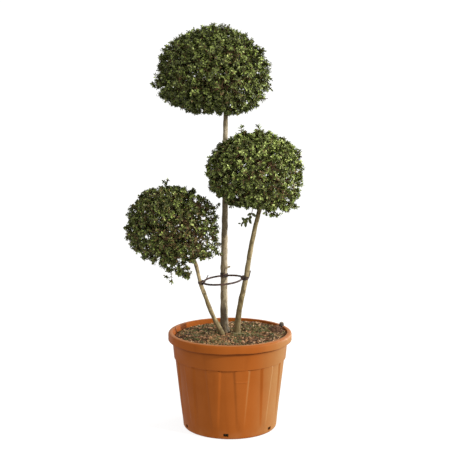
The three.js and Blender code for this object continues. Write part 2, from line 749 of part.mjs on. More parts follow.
function buildPlant() {
  const plant = new THREE.Group();
  addPiece(plant, 'pot', potGeometry(), COLOURS.pot, 0.55);
  addPiece(plant, 'soil', soilGeometry(), COLOURS.soil, 0.95);
  addPiece(plant, 'peg', geometryOf(pegSolid(0)), COLOURS.peg, 0.5);
  addPiece(plant, 'trunk', geometryOf(trunkSolid()), COLOURS.trunk, 0.85);
  addPiece(plant, 'stem_left', geometryOf(stemSolid(LEFT_STEM, LIMB_STEPS)), COLOURS.stem, 0.85);
  addPiece(plant, 'stem_right', geometryOf(stemSolid(RIGHT_STEM, LIMB_STEPS)), COLOURS.stem, 0.85);
  addPiece(plant, 'ring', geometryOf(ringSolid(0)), COLOURS.ring, 0.6);
  const ties = [
    ['tie_trunk', TRUNK, trunkSolid(GAP), -1, 4],
    ['tie_left', LEFT_STEM, stemSolid(LEFT_STEM, LIMB_STEPS, GAP), -1, 12],
    ['tie_right', RIGHT_STEM, stemSolid(RIGHT_STEM, LIMB_STEPS, GAP), 1, 6],
  ];
  for (const [name, stem, grownStem, tailSide, tailLean] of ties) {
    addPiece(plant, name, tieGeometry(stem, grownStem, tailSide, tailLean), COLOURS.tie, 0.7);
  }
  for (const ball of BALLS) addPiece(plant, ball.name, ballGeometry(ball), COLOURS[ball.name], 0.8);
  return plant;
}

export default buildPlant();
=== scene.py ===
"""Potted privet triple ball topiary: the visual model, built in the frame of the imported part."""
import math

import bpy
import numpy as np
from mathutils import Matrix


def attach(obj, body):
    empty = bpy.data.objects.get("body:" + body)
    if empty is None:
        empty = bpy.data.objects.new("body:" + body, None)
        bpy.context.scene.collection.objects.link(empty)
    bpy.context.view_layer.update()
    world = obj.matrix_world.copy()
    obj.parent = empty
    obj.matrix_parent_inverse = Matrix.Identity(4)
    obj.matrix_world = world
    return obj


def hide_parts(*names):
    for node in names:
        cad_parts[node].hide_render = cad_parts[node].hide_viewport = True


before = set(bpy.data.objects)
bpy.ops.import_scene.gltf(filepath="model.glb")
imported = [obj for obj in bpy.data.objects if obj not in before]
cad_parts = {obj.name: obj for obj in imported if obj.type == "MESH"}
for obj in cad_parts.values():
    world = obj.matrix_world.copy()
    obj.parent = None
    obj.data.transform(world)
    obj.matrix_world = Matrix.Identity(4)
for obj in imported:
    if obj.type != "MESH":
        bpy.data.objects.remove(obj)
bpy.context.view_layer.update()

BODY = "root"

# Sizes are in millimetres and stated angles in degrees, but phases, skews and the stub's turns in radians
MM = 0.001
CURVE_STEPS = 40
CURVE_LEAST_POINTS = 4
STEEP = 0.9
NOISE_SPAN = (0.3, 0.7)
UP = np.array([0, 0, 1.0])
RIGHT = np.array([1.0, 0, 0])
WHITE = (1.0, 1.0, 1.0, 1.0)

# Pot: a moulded tub with a plain collar, a turned-down rim, raised panels and drain slots
POT_HEIGHT = 351
POT_COLUMNS = 360
POT_FLOOR = 5
POT_WALL = 4
POT_SHARP = 38
BASE_RADIUS = 171
BODY_FOOT = 4
BODY_TOP = 256
BODY_TOP_RADIUS = 196
BODY_ROW_HEIGHT = 6
COLLAR_BOTTOM = 257.6
COLLAR_BOTTOM_RADIUS = 204
COLLAR_TOP_RADIUS = 212
INSIDE_STEP = 262
INSIDE_STEP_RADIUS = 200
INSIDE_TOP_RADIUS = 208
RIM_RADIUS = 225
RIM_BOTTOM = 321.5
RIM_UNDERSIDE = 343
LIP_INNER_EDGE = 0.7
CORNER_STEPS = 5
BASE_ROUNDING = 8
COLLAR_ROUNDING = 1.6
RIM_INNER_ROUNDING = 1
RIM_BOTTOM_ROUNDINGS = (1.4, 2.2)
LIP_ROUNDINGS = (8, 1.4)
STEP_ROUNDING = 2
FLOOR_ROUNDING = 3
PANEL_PITCH = 30
PANEL_CENTRE = 12
PANEL_RISE = 4.2
PANEL_BOTTOM = 34
PANEL_HALF_WIDTHS = (4, 8)
PANEL_EDGE = 1.1
PANEL_CORNER_HEIGHT = 8
PANEL_CORNER_WIDTH = 2.2
PANEL_CORNER_ROWS = (0.85, 0.6, 0.4, 0.25, 0.12, 0.04)
LABEL_LINE = 213
LABEL_LINE_RISE = 1.1
LABEL_LINE_WIDTH = 1.5
LABEL_LINE_ROWS = (-2, -1, -0.4, 0.4, 1, 2)
DRAIN_COUNT = 6
DRAIN_CENTRE = -5
DRAIN_HALF_WIDTH = 3
DRAIN_BOTTOM = 11
DRAIN_TOP = 22.5

# Waver of the rim's lower edge: its size, the rows it takes in, and waves round with phase and share
RIM_WAVER = 0.9
RIM_WAVER_RADIUS = 220
RIM_WAVER_TOP = 341
RIM_WAVES = ((5, 1, 1), (13, 0, 0.6))

# Soil: a low mound of potting mix under bark chips, crumbs and moss
SOIL_TOP = 341
SOIL_EDGE = 333
SOIL_CROWN_RADIUS = 62
SOIL_INSET = 0.6
SOIL_FLOOR_GAP = 0.3
SOIL_LUMP = 3
SOIL_LUMPS_ROUND = 4
SOIL_LUMP_PITCH = 20
SOIL_LUMPS_FROM = (0, 0.2)
SOIL_LUMPS_TO = (0.85, 1)
SOIL_RINGS = 70
SOIL_HEART = 0.006
SOIL_COLUMNS = 240
SOIL_WAVES = ((34, 1.2), (17, 0.8), (9, 0.5))
SOIL_WAVE_COUNT = 5
SOIL_WAVE_SPREAD = 2.2
SOIL_GRAIN = 0.65
SOIL_TILT = 9
SOIL_HIGH_SIDE = math.radians(110)
SOIL_CLEARANCE = 2
SOIL_SEED = 5
WALL_SLOPE = (INSIDE_TOP_RADIUS - INSIDE_STEP_RADIUS) / (RIM_UNDERSIDE - INSIDE_STEP)
SOIL_EDGE_RADIUS = INSIDE_TOP_RADIUS - SOIL_INSET - WALL_SLOPE * (RIM_UNDERSIDE - SOIL_EDGE)

# Chips by kind: how many, and the two colours they lie between
CHIPS = {
    "tan": (480, (146, 108, 72), (196, 150, 106)),
    "brown": (860, (98, 68, 44), (144, 102, 70)),
    "dark": (900, (48, 34, 24), (88, 64, 44)),
    "pale": (230, (188, 146, 110), (222, 186, 148)),
    "bark": (150, (68, 46, 31), (124, 90, 66)),
}
CHIP_SIDES = 6
CHIP_LENGTH = (7, 22)
CHIP_LENGTH_SHARES = (0.6, 1.1)
CHIP_WIDTH_SHARES = (0.35, 0.7)
CHIP_THICKNESS = (1.0, 2.6)
CHIP_LEAN = 0.38
CHIP_SKEW = 0.3
CHIP_EDGE_SHARES = (0.75, 1.1)
CHIP_TOP_SHARE = 0.86
CHIP_LIFT = 0.4
CHIP_LIFT_SHARE = 0.4
CHIP_MARGIN = 6
CHIP_SHARP = 40
PATCH_MARGIN = 12
BARK_PLACE = (176, 38)
BARK_SPREAD = (13, 27)
BARK_HEAP = 18
BARK_LENGTH = (12, 24)
BARK_BULK = 2
TAN_PLACE = (-43, -95)
TAN_SPREAD = (27, 38)
TAN_COUNT = 130

# Moss and straw
MOSS_TUFTS = 120
MOSS_PLACE = (92, 20)
MOSS_SPREAD = (36, 52)
MOSS_PATCH_TUFTS = 30
MOSS_MARGIN = 14
MOSS_TUFT_SIZE = (5, 14)
MOSS_BLADES = 60
BLADE_MARGIN = 4
BLADE_LENGTH = (3, 8)
BLADE_LEAN = 0.8
BLADE_KNEE = 0.55
BLADE_HALF_WIDTHS = (0.5, 0.7)
BLADE_SWEEP = 0.3
BLADE_DROOP = 0.6
MOSS_COLOURS = ((88, 94, 52), (132, 134, 84))
STRAW = [(4, -4, 345), (20, -13, 345.5), (38, -13, 345), (54, -8, 344)]
STRAW_STEP = 2
STRAW_RADIUS = 1.1
STRAW_SIDES = 6
STRAW_COLOURS = ((150, 140, 98), (190, 180, 136))


def limb(node, slot, route, girth, flare, knots):
    """A limb: the route of its axis, radii at foot and tip, flare of the foot, and healed knots.

    A knot is a height, an angle from the front, a rise and a size.
    """
    return {"node": node, "slot": slot, "route": route, "girth": girth, "flare": flare, "knots": knots}


# Trunk and stems
FLARE_HEIGHT = 22
FLARE_LOBES = 3
FLARE_LOBE_DEPTH = 0.35
FOOT_SINK = 3
BARK_STEP = 2
BARK_SIDES = 40
BARK_SEED = 3
TRUNK = limb(
    "trunk", "trunk_bark",
    [(-21, 24, 341.3), (-21.7, 24, 470), (-20.5, 24, 650), (-17.5, 24, 830), (-16.8, 24, 1060),
     (-14.5, 24, 1170)],
    (13.8, 7.8), 0.55,
    [(582, -100, 2.6, 9), (541, 25, 1.6, 6), (470, 60, 1.2, 7), (700, -60, 1.0, 8), (865, 40, 1.1, 7),
     (1010, -80, 0.9, 7)])
LEFT_STEM = limb(
    "stem_left", "stem_bark",
    [(-27, -15, 341.3), (-66, -32, 425), (-84.5, -47, 478), (-106, -63, 543), (-120, -75, 606),
     (-136, -84, 655)],
    (8.6, 5.8), 0.3, [(420, 40, 1.2, 6), (505, 80, 1.3, 6), (610, -60, 0.8, 6)])
RIGHT_STEM = limb(
    "stem_right", "stem_bark",
    [(25, 8, 341.3), (32, -17, 421), (41, -37, 478), (56.3, -63, 558), (71.5, -84, 661), (88.5, -98, 750),
     (107, -106, 826)],
    (10.6, 7.2), 0.35, [(432, -30, 1.5, 7), (520, 70, 1.0, 7), (690, -70, 1.0, 7)])
STEMS = (TRUNK, LEFT_STEM, RIGHT_STEM)
STUB_ENDS = np.array([(-21.0, 24, 574), (1, 19, 586)])
STUB_GIRTH = (4.4, 2.7)
STUB_POINTS = 14
STUB_SIDES = 14
STUB_ARCH = 1.5
STUB_ARCH_TURN = 3
STUB_RIPPLE = 0.09
STUB_RIPPLE_TURN = 23

# Waves of the bark and the ring have pitches between these shares of the stated one
WAVE_PITCH_SHARES = (0.6, 1.7)

# Bark relief: size, turns, most turns, pitch and count of each set of waves, and the hollow of a knot
BARK_WAVES = ((0.45, 1, 3, 55, 7), (0.22, 4, 3, 90, 8), (0.12, 3, 4, 14, 8))
KNOT_HOLLOW = 0.55
KNOT_HOLLOW_SHARPNESS = 7

# Ring round the three stems, with its waves as most turns, pitch and count
RING_CENTRE = np.array((-25.5, -61, 551))
RING_RADIUS = 69
RING_THICKNESS = 6.6
RING_SLOPE_FRONT = math.tan(math.radians(2.6))
RING_SLOPE_LEFT = math.tan(math.radians(6))
RING_STEPS = 220
RING_SIDES = 16
RING_SWELL = 0.07
RING_SWELL_TURNS = 9
RING_SWELL_WAVES = (3, 1, 6)
RING_RIPPLE = 0.03
RING_RIPPLE_LENGTH = 60
RING_RIPPLE_WAVES = (3, 12, 6)
RING_SAG = 0.5
RING_SAG_TURNS = 3
RING_SAG_PHASE = 1
RING_COLOURS = ((50, 33, 26), (84, 60, 48))

# Wire that ties the stems to the ring, whose turns go aside by the stem's girth and up by the ring's
WIRE_RADIUS = 1.0
WIRE_PITCH = 2.1
WIRE_WRAPS = 3
WIRE_STEP = 1.2
WIRE_SIDES = 8
TURN_STEM_SHARES = (-1, -0.6)
TURN_GAP_SHARES = (0.35, 0.8)
TURN_ASIDE = np.array((0, 0.85, 1, 0.75, 0.35, 0))
TURN_RISE = np.array((0, 0.5, 0.95, 1.1, 0.45, 0))
TURN_SLACK = 0.3
TAIL_LENGTH = 26
TAIL_TURNS = 3
TAIL_POINTS = 40
TIE_AXIS_STEP = 1
WIRE_COLOURS = ((46, 36, 31), (98, 72, 55))

# Ties: the stem, the node, the side of the tail and its lean
TIES = ((TRUNK, "tie_trunk", -1, 4), (LEFT_STEM, "tie_left", -1, 12), (RIGHT_STEM, "tie_right", 1, 6))

# Watering peg pushed into the soil at the right: its section as radius, height and rounding of each corner
PEG_PLACE = (191, 44)
PEG_HEAD_RADIUS = 9
PEG_SECTION = [
    (0.4, 305, 0), (3, 311, 0.5), (3, 360, 0.3), (PEG_HEAD_RADIUS, 360, 0.8), (PEG_HEAD_RADIUS, 364.5, 0.5),
    (8.2, 365, 0.3), (8.1, 370.8, 4), (4.4, 374, 2.6), (0.4, 374, 0),
]
PEG_COLUMNS = 48
PEG_GRIP = (360.5, 364.4)
PEG_GRIP_RADIUS = 8
PEG_GRIP_RIBS = 12
PEG_GRIP_DEPTH = 0.5
PEG_SHARP = 40

# Growth rule of the clipped balls, as in the part's source, then its finer orders of twigs
LUMP_SIZE = 0.045
LUMP_PITCH = 5
HEART_SHARE = 0.45
BOUGH_COUNT = 9
BOUGH_SHARE = 0.55
TWIG_SHARE = 0.83
DIRECTION_JITTER = 0.1
GOLDEN_ANGLE = math.pi * (3 - math.sqrt(5))
SPACE_SHARE = 1.06
LIMB_CLEARANCE = 3
SHOOT_CLEARANCE = 6
INNER_CLEARANCE = 8
SPRAYS_PER_TWIG = 11
SPRAY_SHARES = (0.82, 0.9)
SHOOT_SHARES = (0.86, 0.95, 1.02)
INNER_SHARES = (0.35, 0.88)
RAGGED = 0.034
TUFT_PULL = 0.5
FOLLOW = 0.55
SHOOT_FOLLOW = 0.4
WANDER = 0.1
STRAY_FOOT_SHARE = 0.84
STRAY_WANDER = 4
STRAY_LEAF = 1.45
SIDE_SHOOT_LENGTH = 34
SIDE_SHARES = (0.1, 0.92)
SIDE_SPREAD = 0.75
SIDE_TAPER = (1.15, 0.7)
SIDE_LENGTH_SHARES = (0.7, 1.2)
GAP_SHARE = 0.9
GAP_EDGES = (0.7, 1.25)
BARE_EDGES = (0.4, 1.2)
SEARCH_BATCH = 200
KNEE_SHARE = 0.5
LIMB_STEP = 12
HEART_STEP = 6

# Shares of a parent branch from which each order sets out
BOUGH_FEET = (0.55, 0.8, 1.0)
TWIG_FEET = (0.6, 0.8, 1.0)
SPRAY_FEET = (0.35, 0.5, 0.65, 0.8, 1.0)
SHOOT_FEET = (0.3, 0.45, 0.6, 0.75, 0.9)
INNER_FEET = (0.2, 0.4, 0.6, 0.8)
SIDE_FEET = (0.1, 0.25, 0.4, 0.55, 0.7, 0.85)

# Points, girths at foot and tip, and sides of each order of branch
BRANCH_FORMS = {
    "inner": (12, 7.0, 5.0, 10), "boughs": (8, 4.6, 2.9, 6), "twigs": (7, 2.8, 1.7, 5),
    "sprays": (6, 1.6, 1.0, 4), "shoots": (4, 0.9, 0.5, 3), "inner_shoots": (4, 1.0, 0.6, 3),
    "strays": (10, 1.5, 0.7, 5), "sides": (4, 0.8, 0.5, 3),
}
TWIG_COLOURS = ((82, 60, 40), (124, 95, 66))


def stray(tip, sides=0, foot=None, knee=None, leaf=STRAY_LEAF, deep=False, outlook=(0, 0, 0)):
    """A shoot that the shears left: its side shoots, stated bends and leaves, and where the leaves face."""
    return {
        "tip": tip, "sides": sides, "foot": foot, "knee": knee,
        "leaf": leaf, "deep": deep, "outlook": outlook,
    }


# Balls: bulges as direction, rise and width, bare spots and gaps as place in front view, size and share lost
BALLS = [
    {
        "node": "ball_top", "slot": "foliage_top", "stem": TRUNK, "seed": 11,
        "centre": np.array((-64.0, 24, 1279)),
        "radius": 207, "up": 172, "down": 140, "square": 2.6, "push": 0,
        "twigs": 35, "shoots": 2300, "inner_shoots": 2050, "leaf": 12, "fresh": 0.4, "bronze": 0.02,
        "strays": [stray((146, 20, 1224)), stray((-274, 22, 1238), sides=2)],
        "bulges": [(0.6, -0.35, -0.72, 0.08, 0.42), (-0.62, -0.2, 0.75, -0.065, 0.5),
                   (-1, 0, 0, -0.035, 0.4)],
        "bare": [(62, 40, 40, 0.35), (70, -60, 60, 0.3)],
        "gaps": [(50, 146, 8), (-36, -126, 7), (66, -110, 7), (105, -70, 45, 0.12)],
    },
    {
        "node": "ball_right", "slot": "foliage_side", "stem": RIGHT_STEM, "seed": 23,
        "centre": np.array((83.0, -105, 938)),
        "radius": 172, "up": 148, "down": 136, "square": 2.3, "push": 30,
        "twigs": 28, "shoots": 1550, "inner_shoots": 1120, "leaf": 12.5, "fresh": 0.66, "bronze": 0.06,
        "strays": [
            stray((36, -132, 763), 0, (77, -128, 812), (72, -132, 770), 1.65, True, (0, -2, 0.6)),
            stray((-2, -122, 820), sides=1), stray((37, -105, 1094), sides=1), stray((96, -105, 1096)),
            stray((148, -125, 794), sides=3), stray((124, -122, 800), sides=3, leaf=1.2, deep=True),
            stray((243, -105, 1006), sides=1, leaf=1.0),
        ],
        "bulges": [
            (0.7, -0.2, -0.68, 0.05, 0.4), (-0.62, -0.2, 0.75, -0.12, 0.4), (-0.62, -0.3, -0.72, -0.06, 0.38),
            (-0.2, -0.2, -0.95, -0.12, 0.4), (1, 0, 0.05, -0.035, 0.24), (-0.9, -0.1, 0.42, -0.045, 0.3),
        ],
        "bare": [(36, -12, 55, 0.5), (60, -60, 40, 0.4)],
        "gaps": [
            (-109, -92, 12), (110, -19, 8), (140, -48, 9), (-57, -85, 9), (55, -96, 9), (120, -50, 62, 0.22),
            (141, 1, 8),
        ],
    },
    {
        "node": "ball_left", "slot": "foliage_side", "stem": LEFT_STEM, "seed": 37,
        "centre": np.array((-204.0, -95, 754)),
        "radius": 166, "up": 138, "down": 132, "square": 2.2, "push": 0,
        "twigs": 26, "shoots": 1250, "inner_shoots": 920, "leaf": 12, "fresh": 0.35, "bronze": 0.12,
        "strays": [
            stray((-147, -132, 575), sides=14), stray((-204, -132, 552), sides=2, leaf=0.8),
            stray((-218, -122, 604), sides=9), stray((-223, -95, 896), sides=2),
            stray((-178, -130, 590), sides=18), stray((-44, -95, 814), sides=2, leaf=1.0),
            stray((-46, -95, 655), sides=2, leaf=1.0),
        ],
        "bulges": [
            (0.8, -0.1, -0.6, 0.2, 0.42), (0.93, -0.15, 0.33, 0.09, 0.3), (0.5, -0.1, 0.85, -0.1, 0.35),
            (-0.2, -0.3, -0.93, 0.12, 0.36),
        ],
        "bare": [(62, -20, 70, 0.5), (-20, 0, 50, 0.3), (80, -85, 40, 0.4)],
        "gaps": [
            (81, 94, 11), (102, 77, 10), (136, 27, 11), (125, -19, 9), (147, -38, 9), (109, -64, 10),
            (58, -105, 11), (29, -116, 12), (-49, -113, 11), (-62, 98, 8), (-121, 59, 7), (120, 59, 9),
            (130, -79, 8), (128, 0, 60, 0.16), (-60, -80, 40, 0.12),
        ],
    },
]

# Leaves in opposite pairs: shares along a shoot, and the outline as width shares at shares of the length
PAIR_SHARES = (0.24, 0.42, 0.59, 0.75, 0.9)
INNER_PAIR_SHARES = (0.3, 0.55, 0.75, 0.93)
SPRAY_PAIR_SHARES = (0.45, 0.62, 0.78, 0.92)
STRAY_PAIR_SHARES = (0.16, 0.3, 0.44, 0.58, 0.7, 0.82, 0.93)
LEAF_STATIONS = ((0.32, 0.95), (0.72, 0.82))
INNER_STATIONS = ((0.5, 1.0),)
INNER_LEAF = 1.35
LEAF_WIDTH = 0.54
LEAF_FOLD = 0.22
LEAF_CURL = 0.14
LEAF_TIP_CURL = 1.25
LEAF_LOSS = 0.08
LEAF_SPREAD = (38, 68)
LEAF_SWAY = 0.16
LEAF_FACE_UP = 0.45
LEAF_FACE_SWAY = 0.3
LEAF_GROWTH = ((0, 0.45, 0.75, 1), (0.8, 1.05, 0.95, 0.6))
LEAF_SIZE_SHARES = (0.78, 1.18)
END_LEAF_PLACE = 0.985
END_LEAF_SWAY = 0.2
END_LEAF_FACE_UP = 0.6
END_LEAF_SHARES = (0.5, 0.75)

# Leaf tones, and the shares of the first four by age, from an old leaf at 0 to a young one at 1
TONES = {
    "deep": ((62, 67, 30), (84, 89, 42)),
    "dark": ((92, 101, 46), (117, 128, 60)),
    "green": ((132, 149, 68), (158, 175, 88)),
    "fresh": ((180, 193, 106), (204, 214, 136)),
    "bronze": ((92, 77, 42), (124, 103, 62)),
}
TONE_NAMES = list(TONES)
TONE_AGES = (0.0, 0.5, 0.75, 1.0)
TONE_SHARES = (
    (0.7, 0.46, 0.2, 0.06), (0.26, 0.38, 0.36, 0.2), (0.04, 0.14, 0.34, 0.42), (0, 0.02, 0.1, 0.32),
)
SPRAY_VIGOUR = (0.25, 1.0)
SHOOT_VIGOUR = (0.6, 1.2)
EVEN_FRESHNESS = 0.5
# Leaves toward this way, the side the key light falls on, get fresher tones: painted light as well as the
# growth that side gets
SUN_WAY = np.array((0.75, -0.35, 0.55))
SUN_SHARE = 0.4
BARE_BRONZE = 0.4

# Colours of the layered finishes, a base and the layers over it, as red, green and blue from 0 to 255
# Three of the pot colours are painted light: the pale one on the right side is a painted sheen, the dark one
# just under the rim is painted shade, and the pale one on top of the lip is painted highlight as well as
# dust.
POT_COLOURS = {
    "base": (150, 77, 19), "cloud": (158, 84, 27), "streaks": (141, 71, 17), "dust": (166, 111, 67),
    "faded": (162, 124, 74), "grime": (112, 50, 12), "lip": (196, 146, 98),
}
POT_GLOSS_TINT = (1.0, 0.9, 0.72, 1.0)
SOIL_COLOURS = {"base": (58, 42, 27), "crumbs": (112, 88, 60), "moss": (82, 84, 44)}
# Two of the bark colours are painted light: the one laid on the side away from the key light is painted
# shade, and the one low on the limbs is a painted shadow, darker at the foot; the rest are the bark's own.
BARK_COLOURS = {
    "trunk_bark": {
        "base": (116, 102, 75), "streaks": (148, 131, 102), "patches": (180, 166, 141),
        "algae": (121, 114, 72), "damp": (125, 110, 84), "stain": (70, 57, 41), "blotches": (84, 68, 42),
        "pores": (178, 160, 128),
    },
    "stem_bark": {
        "base": (113, 98, 63), "streaks": (145, 128, 88), "patches": (179, 161, 124),
        "algae": (121, 111, 67), "damp": (112, 98, 63), "stain": (114, 99, 66), "blotches": (84, 68, 42),
        "pores": (178, 160, 128),
    },
}
PEG_COLOURS = {"base": (46, 36, 29), "dust": (96, 78, 60), "top": (128, 112, 92)}
STAGE_COLOURS = {"base": (128, 128, 127), "cloud": (132, 132, 131)}

# Plain finishes: gloss, then the noise in colour, in roughness and in grain, with the grain's depth
PLAIN_FINISHES = {
    "chip": (0.25, (140, 4, 0.3, 0.7), (90, 2, 0.8, 0.95), (500, 3, 0.0008)),
    "twig": (0.3, (90, 3, 0.32, 0.68), (120, 2, 0.65, 0.85), (700, 3, 0.0004)),
    "leaf": (0.34, (130, 2, 0.3, 0.7), (200, 2, 0.42, 0.58), (900, 2, 0.00025, 0.6)),
    "ring": (0.4, (80, 4, 0.35, 0.68), (150, 3, 0.45, 0.7), (420, 4, 0.0006)),
    "wire": (0.4, (170, 4, 0.4, 0.66), (260, 3, 0.5, 0.8), (800, 3, 0.0003)),
}

# Camera of the photograph, whose frame is square
CAMERA_PLACE = (-14.4, -3390, 1178)
CAMERA_PITCH = 7.41
CAMERA_LENS = 75.66
SENSOR = 36

# Studio: places in metres, power in watts
KEY_PLACE = (7.14, -4.375, 4.148)
LIGHT_TARGET = (0, 0, 0.85)
KEY_SIZE = 0.22
KEY_POWER = 740
KEY_TINT = (1.0, 0.975, 0.94)
EDGE_PLACE = (2.5, 1.9, 0.9)
EDGE_SIZE = 1.4
EDGE_POWER = 75
SKY_WAY = (0.15, -0.45, 0.88)
SKY_STRENGTH = (0.6, 0.94)
STAGE_RADIUS = 12
STAGE_HEIGHT = 12
STAGE_SIDES = 96
STAGE_GLOW = 0.84


# Plain helpers

def linear(red, green, blue):
    """An sRGB colour from 0 to 255 as linear red, green, blue and alpha."""
    shares = [value / 255 for value in (red, green, blue)]
    return [s / 12.92 if s <= 0.04045 else ((s + 0.055) / 1.055) ** 2.4 for s in shares] + [1]


def lerp(first, second, share):
    return first + (second - first) * share


def smoothstep(values, low, high):
    share = np.clip((values - low) / (high - low), 0, 1)
    return share * share * (3 - 2 * share)


def unit(vectors):
    return vectors / np.maximum(np.linalg.norm(vectors, axis=-1, keepdims=True), 1e-9)


def turned(radius, angle, height):
    """Points of a lathe shape, at angles in radians from the front."""
    points = np.broadcast_arrays(radius * np.sin(angle), -radius * np.cos(angle), height)
    return np.stack(points, axis=-1)


def round_angles(count):
    return np.linspace(0, math.tau, count, endpoint=False)


def lengths_along(points):
    """Distance from the start of a path to each of its points."""
    return np.concatenate([[0], np.cumsum(np.linalg.norm(np.diff(points, axis=0), axis=1))])


def leaning(rng, count, lean):
    """Unit directions that lean from upright at random."""
    return unit(np.stack([rng.normal(0, lean, count), rng.normal(0, lean, count), np.ones(count)], axis=1))


def seeded_random(seed):
    """The part source's own random numbers, from 0 to 1."""
    mask = 0xFFFFFFFF
    state = seed

    def draw():
        nonlocal state
        state = (state + 0x6D2B79F5) & mask
        value = ((state ^ (state >> 15)) * (1 | state)) & mask
        value = ((value + (((value ^ (value >> 7)) * (61 | value)) & mask)) & mask) ^ value
        return ((value ^ (value >> 14)) & mask) / 4294967296

    return draw


def waves(rng, angle, along, most_turns, pitch, count):
    """Smooth noise round and along a limb, mostly from -1 to 1."""
    total = np.zeros(np.broadcast(angle, along).shape)
    for _ in range(count):
        turns = rng.integers(0, most_turns + 1)
        rate = rng.choice((-1, 1)) * math.tau / (pitch * rng.uniform(*WAVE_PITCH_SHARES))
        total += np.sin(turns * angle + rate * along + rng.uniform(0, math.tau))
    return total / math.sqrt(count)


# Meshes

def add_object(name, data):
    made = bpy.data.objects.new(name, data)
    bpy.context.scene.collection.objects.link(made)
    return made


def make_piece(name, shapes, material, node, sharp=None):
    """A piece on the body, in metres, joined from shapes, which are vertices and arrays of faces."""
    mesh = bpy.data.meshes.new(name)
    vertices = np.concatenate([points.reshape(-1, 3) for points, _ in shapes]) * MM
    faces = []
    start = 0
    for points, groups in shapes:
        faces += [(group + start).astype(np.int32) for group in groups]
        start += points.size // 3
    corners = np.concatenate([group.ravel() for group in faces])
    sizes = np.concatenate([np.full(len(group), group.shape[1], np.int32) for group in faces])
    mesh.vertices.add(len(vertices))
    mesh.vertices.foreach_set("co", vertices.astype(np.float32).ravel())
    mesh.loops.add(len(corners))
    mesh.loops.foreach_set("vertex_index", corners)
    mesh.polygons.add(len(sizes))
    mesh.polygons.foreach_set("loop_start", np.cumsum(sizes, dtype=np.int32) - sizes)
    mesh.update(calc_edges=True)
    mesh.validate()
    mesh.polygons.foreach_set("use_smooth", np.ones(len(mesh.polygons), bool))
    if sharp is not None:
        mesh.set_sharp_from_angle(angle=math.radians(sharp))
    mesh.materials.append(material)
    piece = add_object(name, mesh)
    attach(piece, BODY)
    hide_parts(node)


def grid_faces(rows, columns, closed=False):
    """Quads round a grid of vertices stored row by row, closed from its last row to its first if so said."""
    row, column = np.meshgrid(np.arange(rows if closed else rows - 1), np.arange(columns), indexing="ij")
    next_column = (column + 1) % columns
    start, next_start = row * columns, (row + 1) % rows * columns
    corners = [start + column, start + next_column, next_start + next_column, next_start + column]
    return np.stack(corners, axis=-1).reshape(-1, 4)


def capped_grid(rows, columns):
    """Faces of a grid of vertices, and of the caps on its first row and its last."""
    row = np.arange(columns)[None]
    return [grid_faces(rows, columns), row[:, ::-1], row + (rows - 1) * columns]


def repeated(faces, count, stride):
    """Faces of many shapes alike, each with a stride of vertices."""
    start = np.arange(count)[:, None, None] * stride
    return [(group[None] + start).reshape(-1, group.shape[1]) for group in faces]


def tubes(paths, radii, sides):
    """Round closed tubes along paths (tubes, points, 3), with one radius or one for each point."""
    count, points = paths.shape[:2]
    heading = unit(np.gradient(paths, axis=1))
    helper = np.where(np.abs(heading[:, :1, 2:]) < STEEP, UP, RIGHT)
    across = [unit(np.cross(helper[:, 0], heading[:, 0]))]
    for i in range(1, points):
        along = np.sum(across[-1] * heading[:, i], axis=-1, keepdims=True)
        across.append(unit(across[-1] - along * heading[:, i]))
    across = np.stack(across, axis=1)[:, :, None]
    away = np.cross(heading[:, :, None], across)
    angle = (np.arange(sides) * math.tau / sides)[None, None, :, None]
    ring = np.cos(angle) * across + np.sin(angle) * away
    vertices = paths[:, :, None] + ring * np.broadcast_to(radii, (count, points))[..., None, None]
    return vertices, repeated(capped_grid(points, sides), count, points * sides)


def rounded(corners):
    """A section through corners (radius, height, rounding), each rounded by an arc."""
    corners = np.array(corners, float)
    outline = [corners[0, :2]]
    for before, (*here, rounding), after in zip(corners[:, :2], corners[1:], corners[2:, :2]):
        back = unit(before - here)
        onward = unit(after - here)
        half = math.acos(np.clip(back @ onward, -1, 1)) / 2
        if rounding == 0:
            outline.append(here)
            continue
        reach = rounding / math.tan(half)
        middle = here + unit(back + onward) * rounding / math.sin(half)
        first = here + back * reach - middle
        last = here + onward * reach - middle
        sweep = math.acos(np.clip(unit(first) @ unit(last), -1, 1))
        for share in np.arange(CORNER_STEPS + 1) / CORNER_STEPS:
            swung = math.sin((1 - share) * sweep) * first + math.sin(share * sweep) * last
            outline.append(middle + swung / math.sin(sweep))
    outline.append(corners[-1, :2])
    return np.array(outline)


def curve_points(route, step):
    """Points a step apart along a centripetal Catmull-Rom curve through a route."""
    route = np.asarray(route, float)
    padded = np.vstack([2 * route[0] - route[1], route, 2 * route[-1] - route[-2]])
    dense = [route[:1]]
    for i in range(len(route) - 1):
        layer = padded[i:i + 4]
        knots = np.concatenate([[0], np.cumsum(np.sqrt(np.linalg.norm(np.diff(layer, axis=0), axis=1)))])
        t = np.linspace(knots[1], knots[2], CURVE_STEPS)[:, None]
        for first, apart in ((0, 1), (0, 2), (1, 1)):
            spans = zip(knots[first:], knots[first + apart:], layer, layer[1:])
            layer = [(high - t) / (high - low) * a + (t - low) / (high - low) * b
                     for low, high, a, b in spans]
        dense.append(layer[0][1:])
    dense = np.concatenate(dense)
    length = lengths_along(dense)
    places = np.linspace(0, length[-1], max(CURVE_LEAST_POINTS, int(round(length[-1] / step)) + 1))
    return np.stack([np.interp(places, length, dense[:, axis]) for axis in range(3)], axis=1)


# Materials

def add_node(tree, kind, output, values=None, **settings):
    """An output of a new node, each of whose inputs is set to a value or linked to a socket."""
    node = tree.nodes.new(kind)
    for name, value in settings.items():
        setattr(node, name, value)
    for socket, value in (values or {}).items():
        if isinstance(value, bpy.types.NodeSocket):
            tree.links.new(value, node.inputs[socket])
        else:
            node.inputs[socket].default_value = value
    return node.outputs[output]


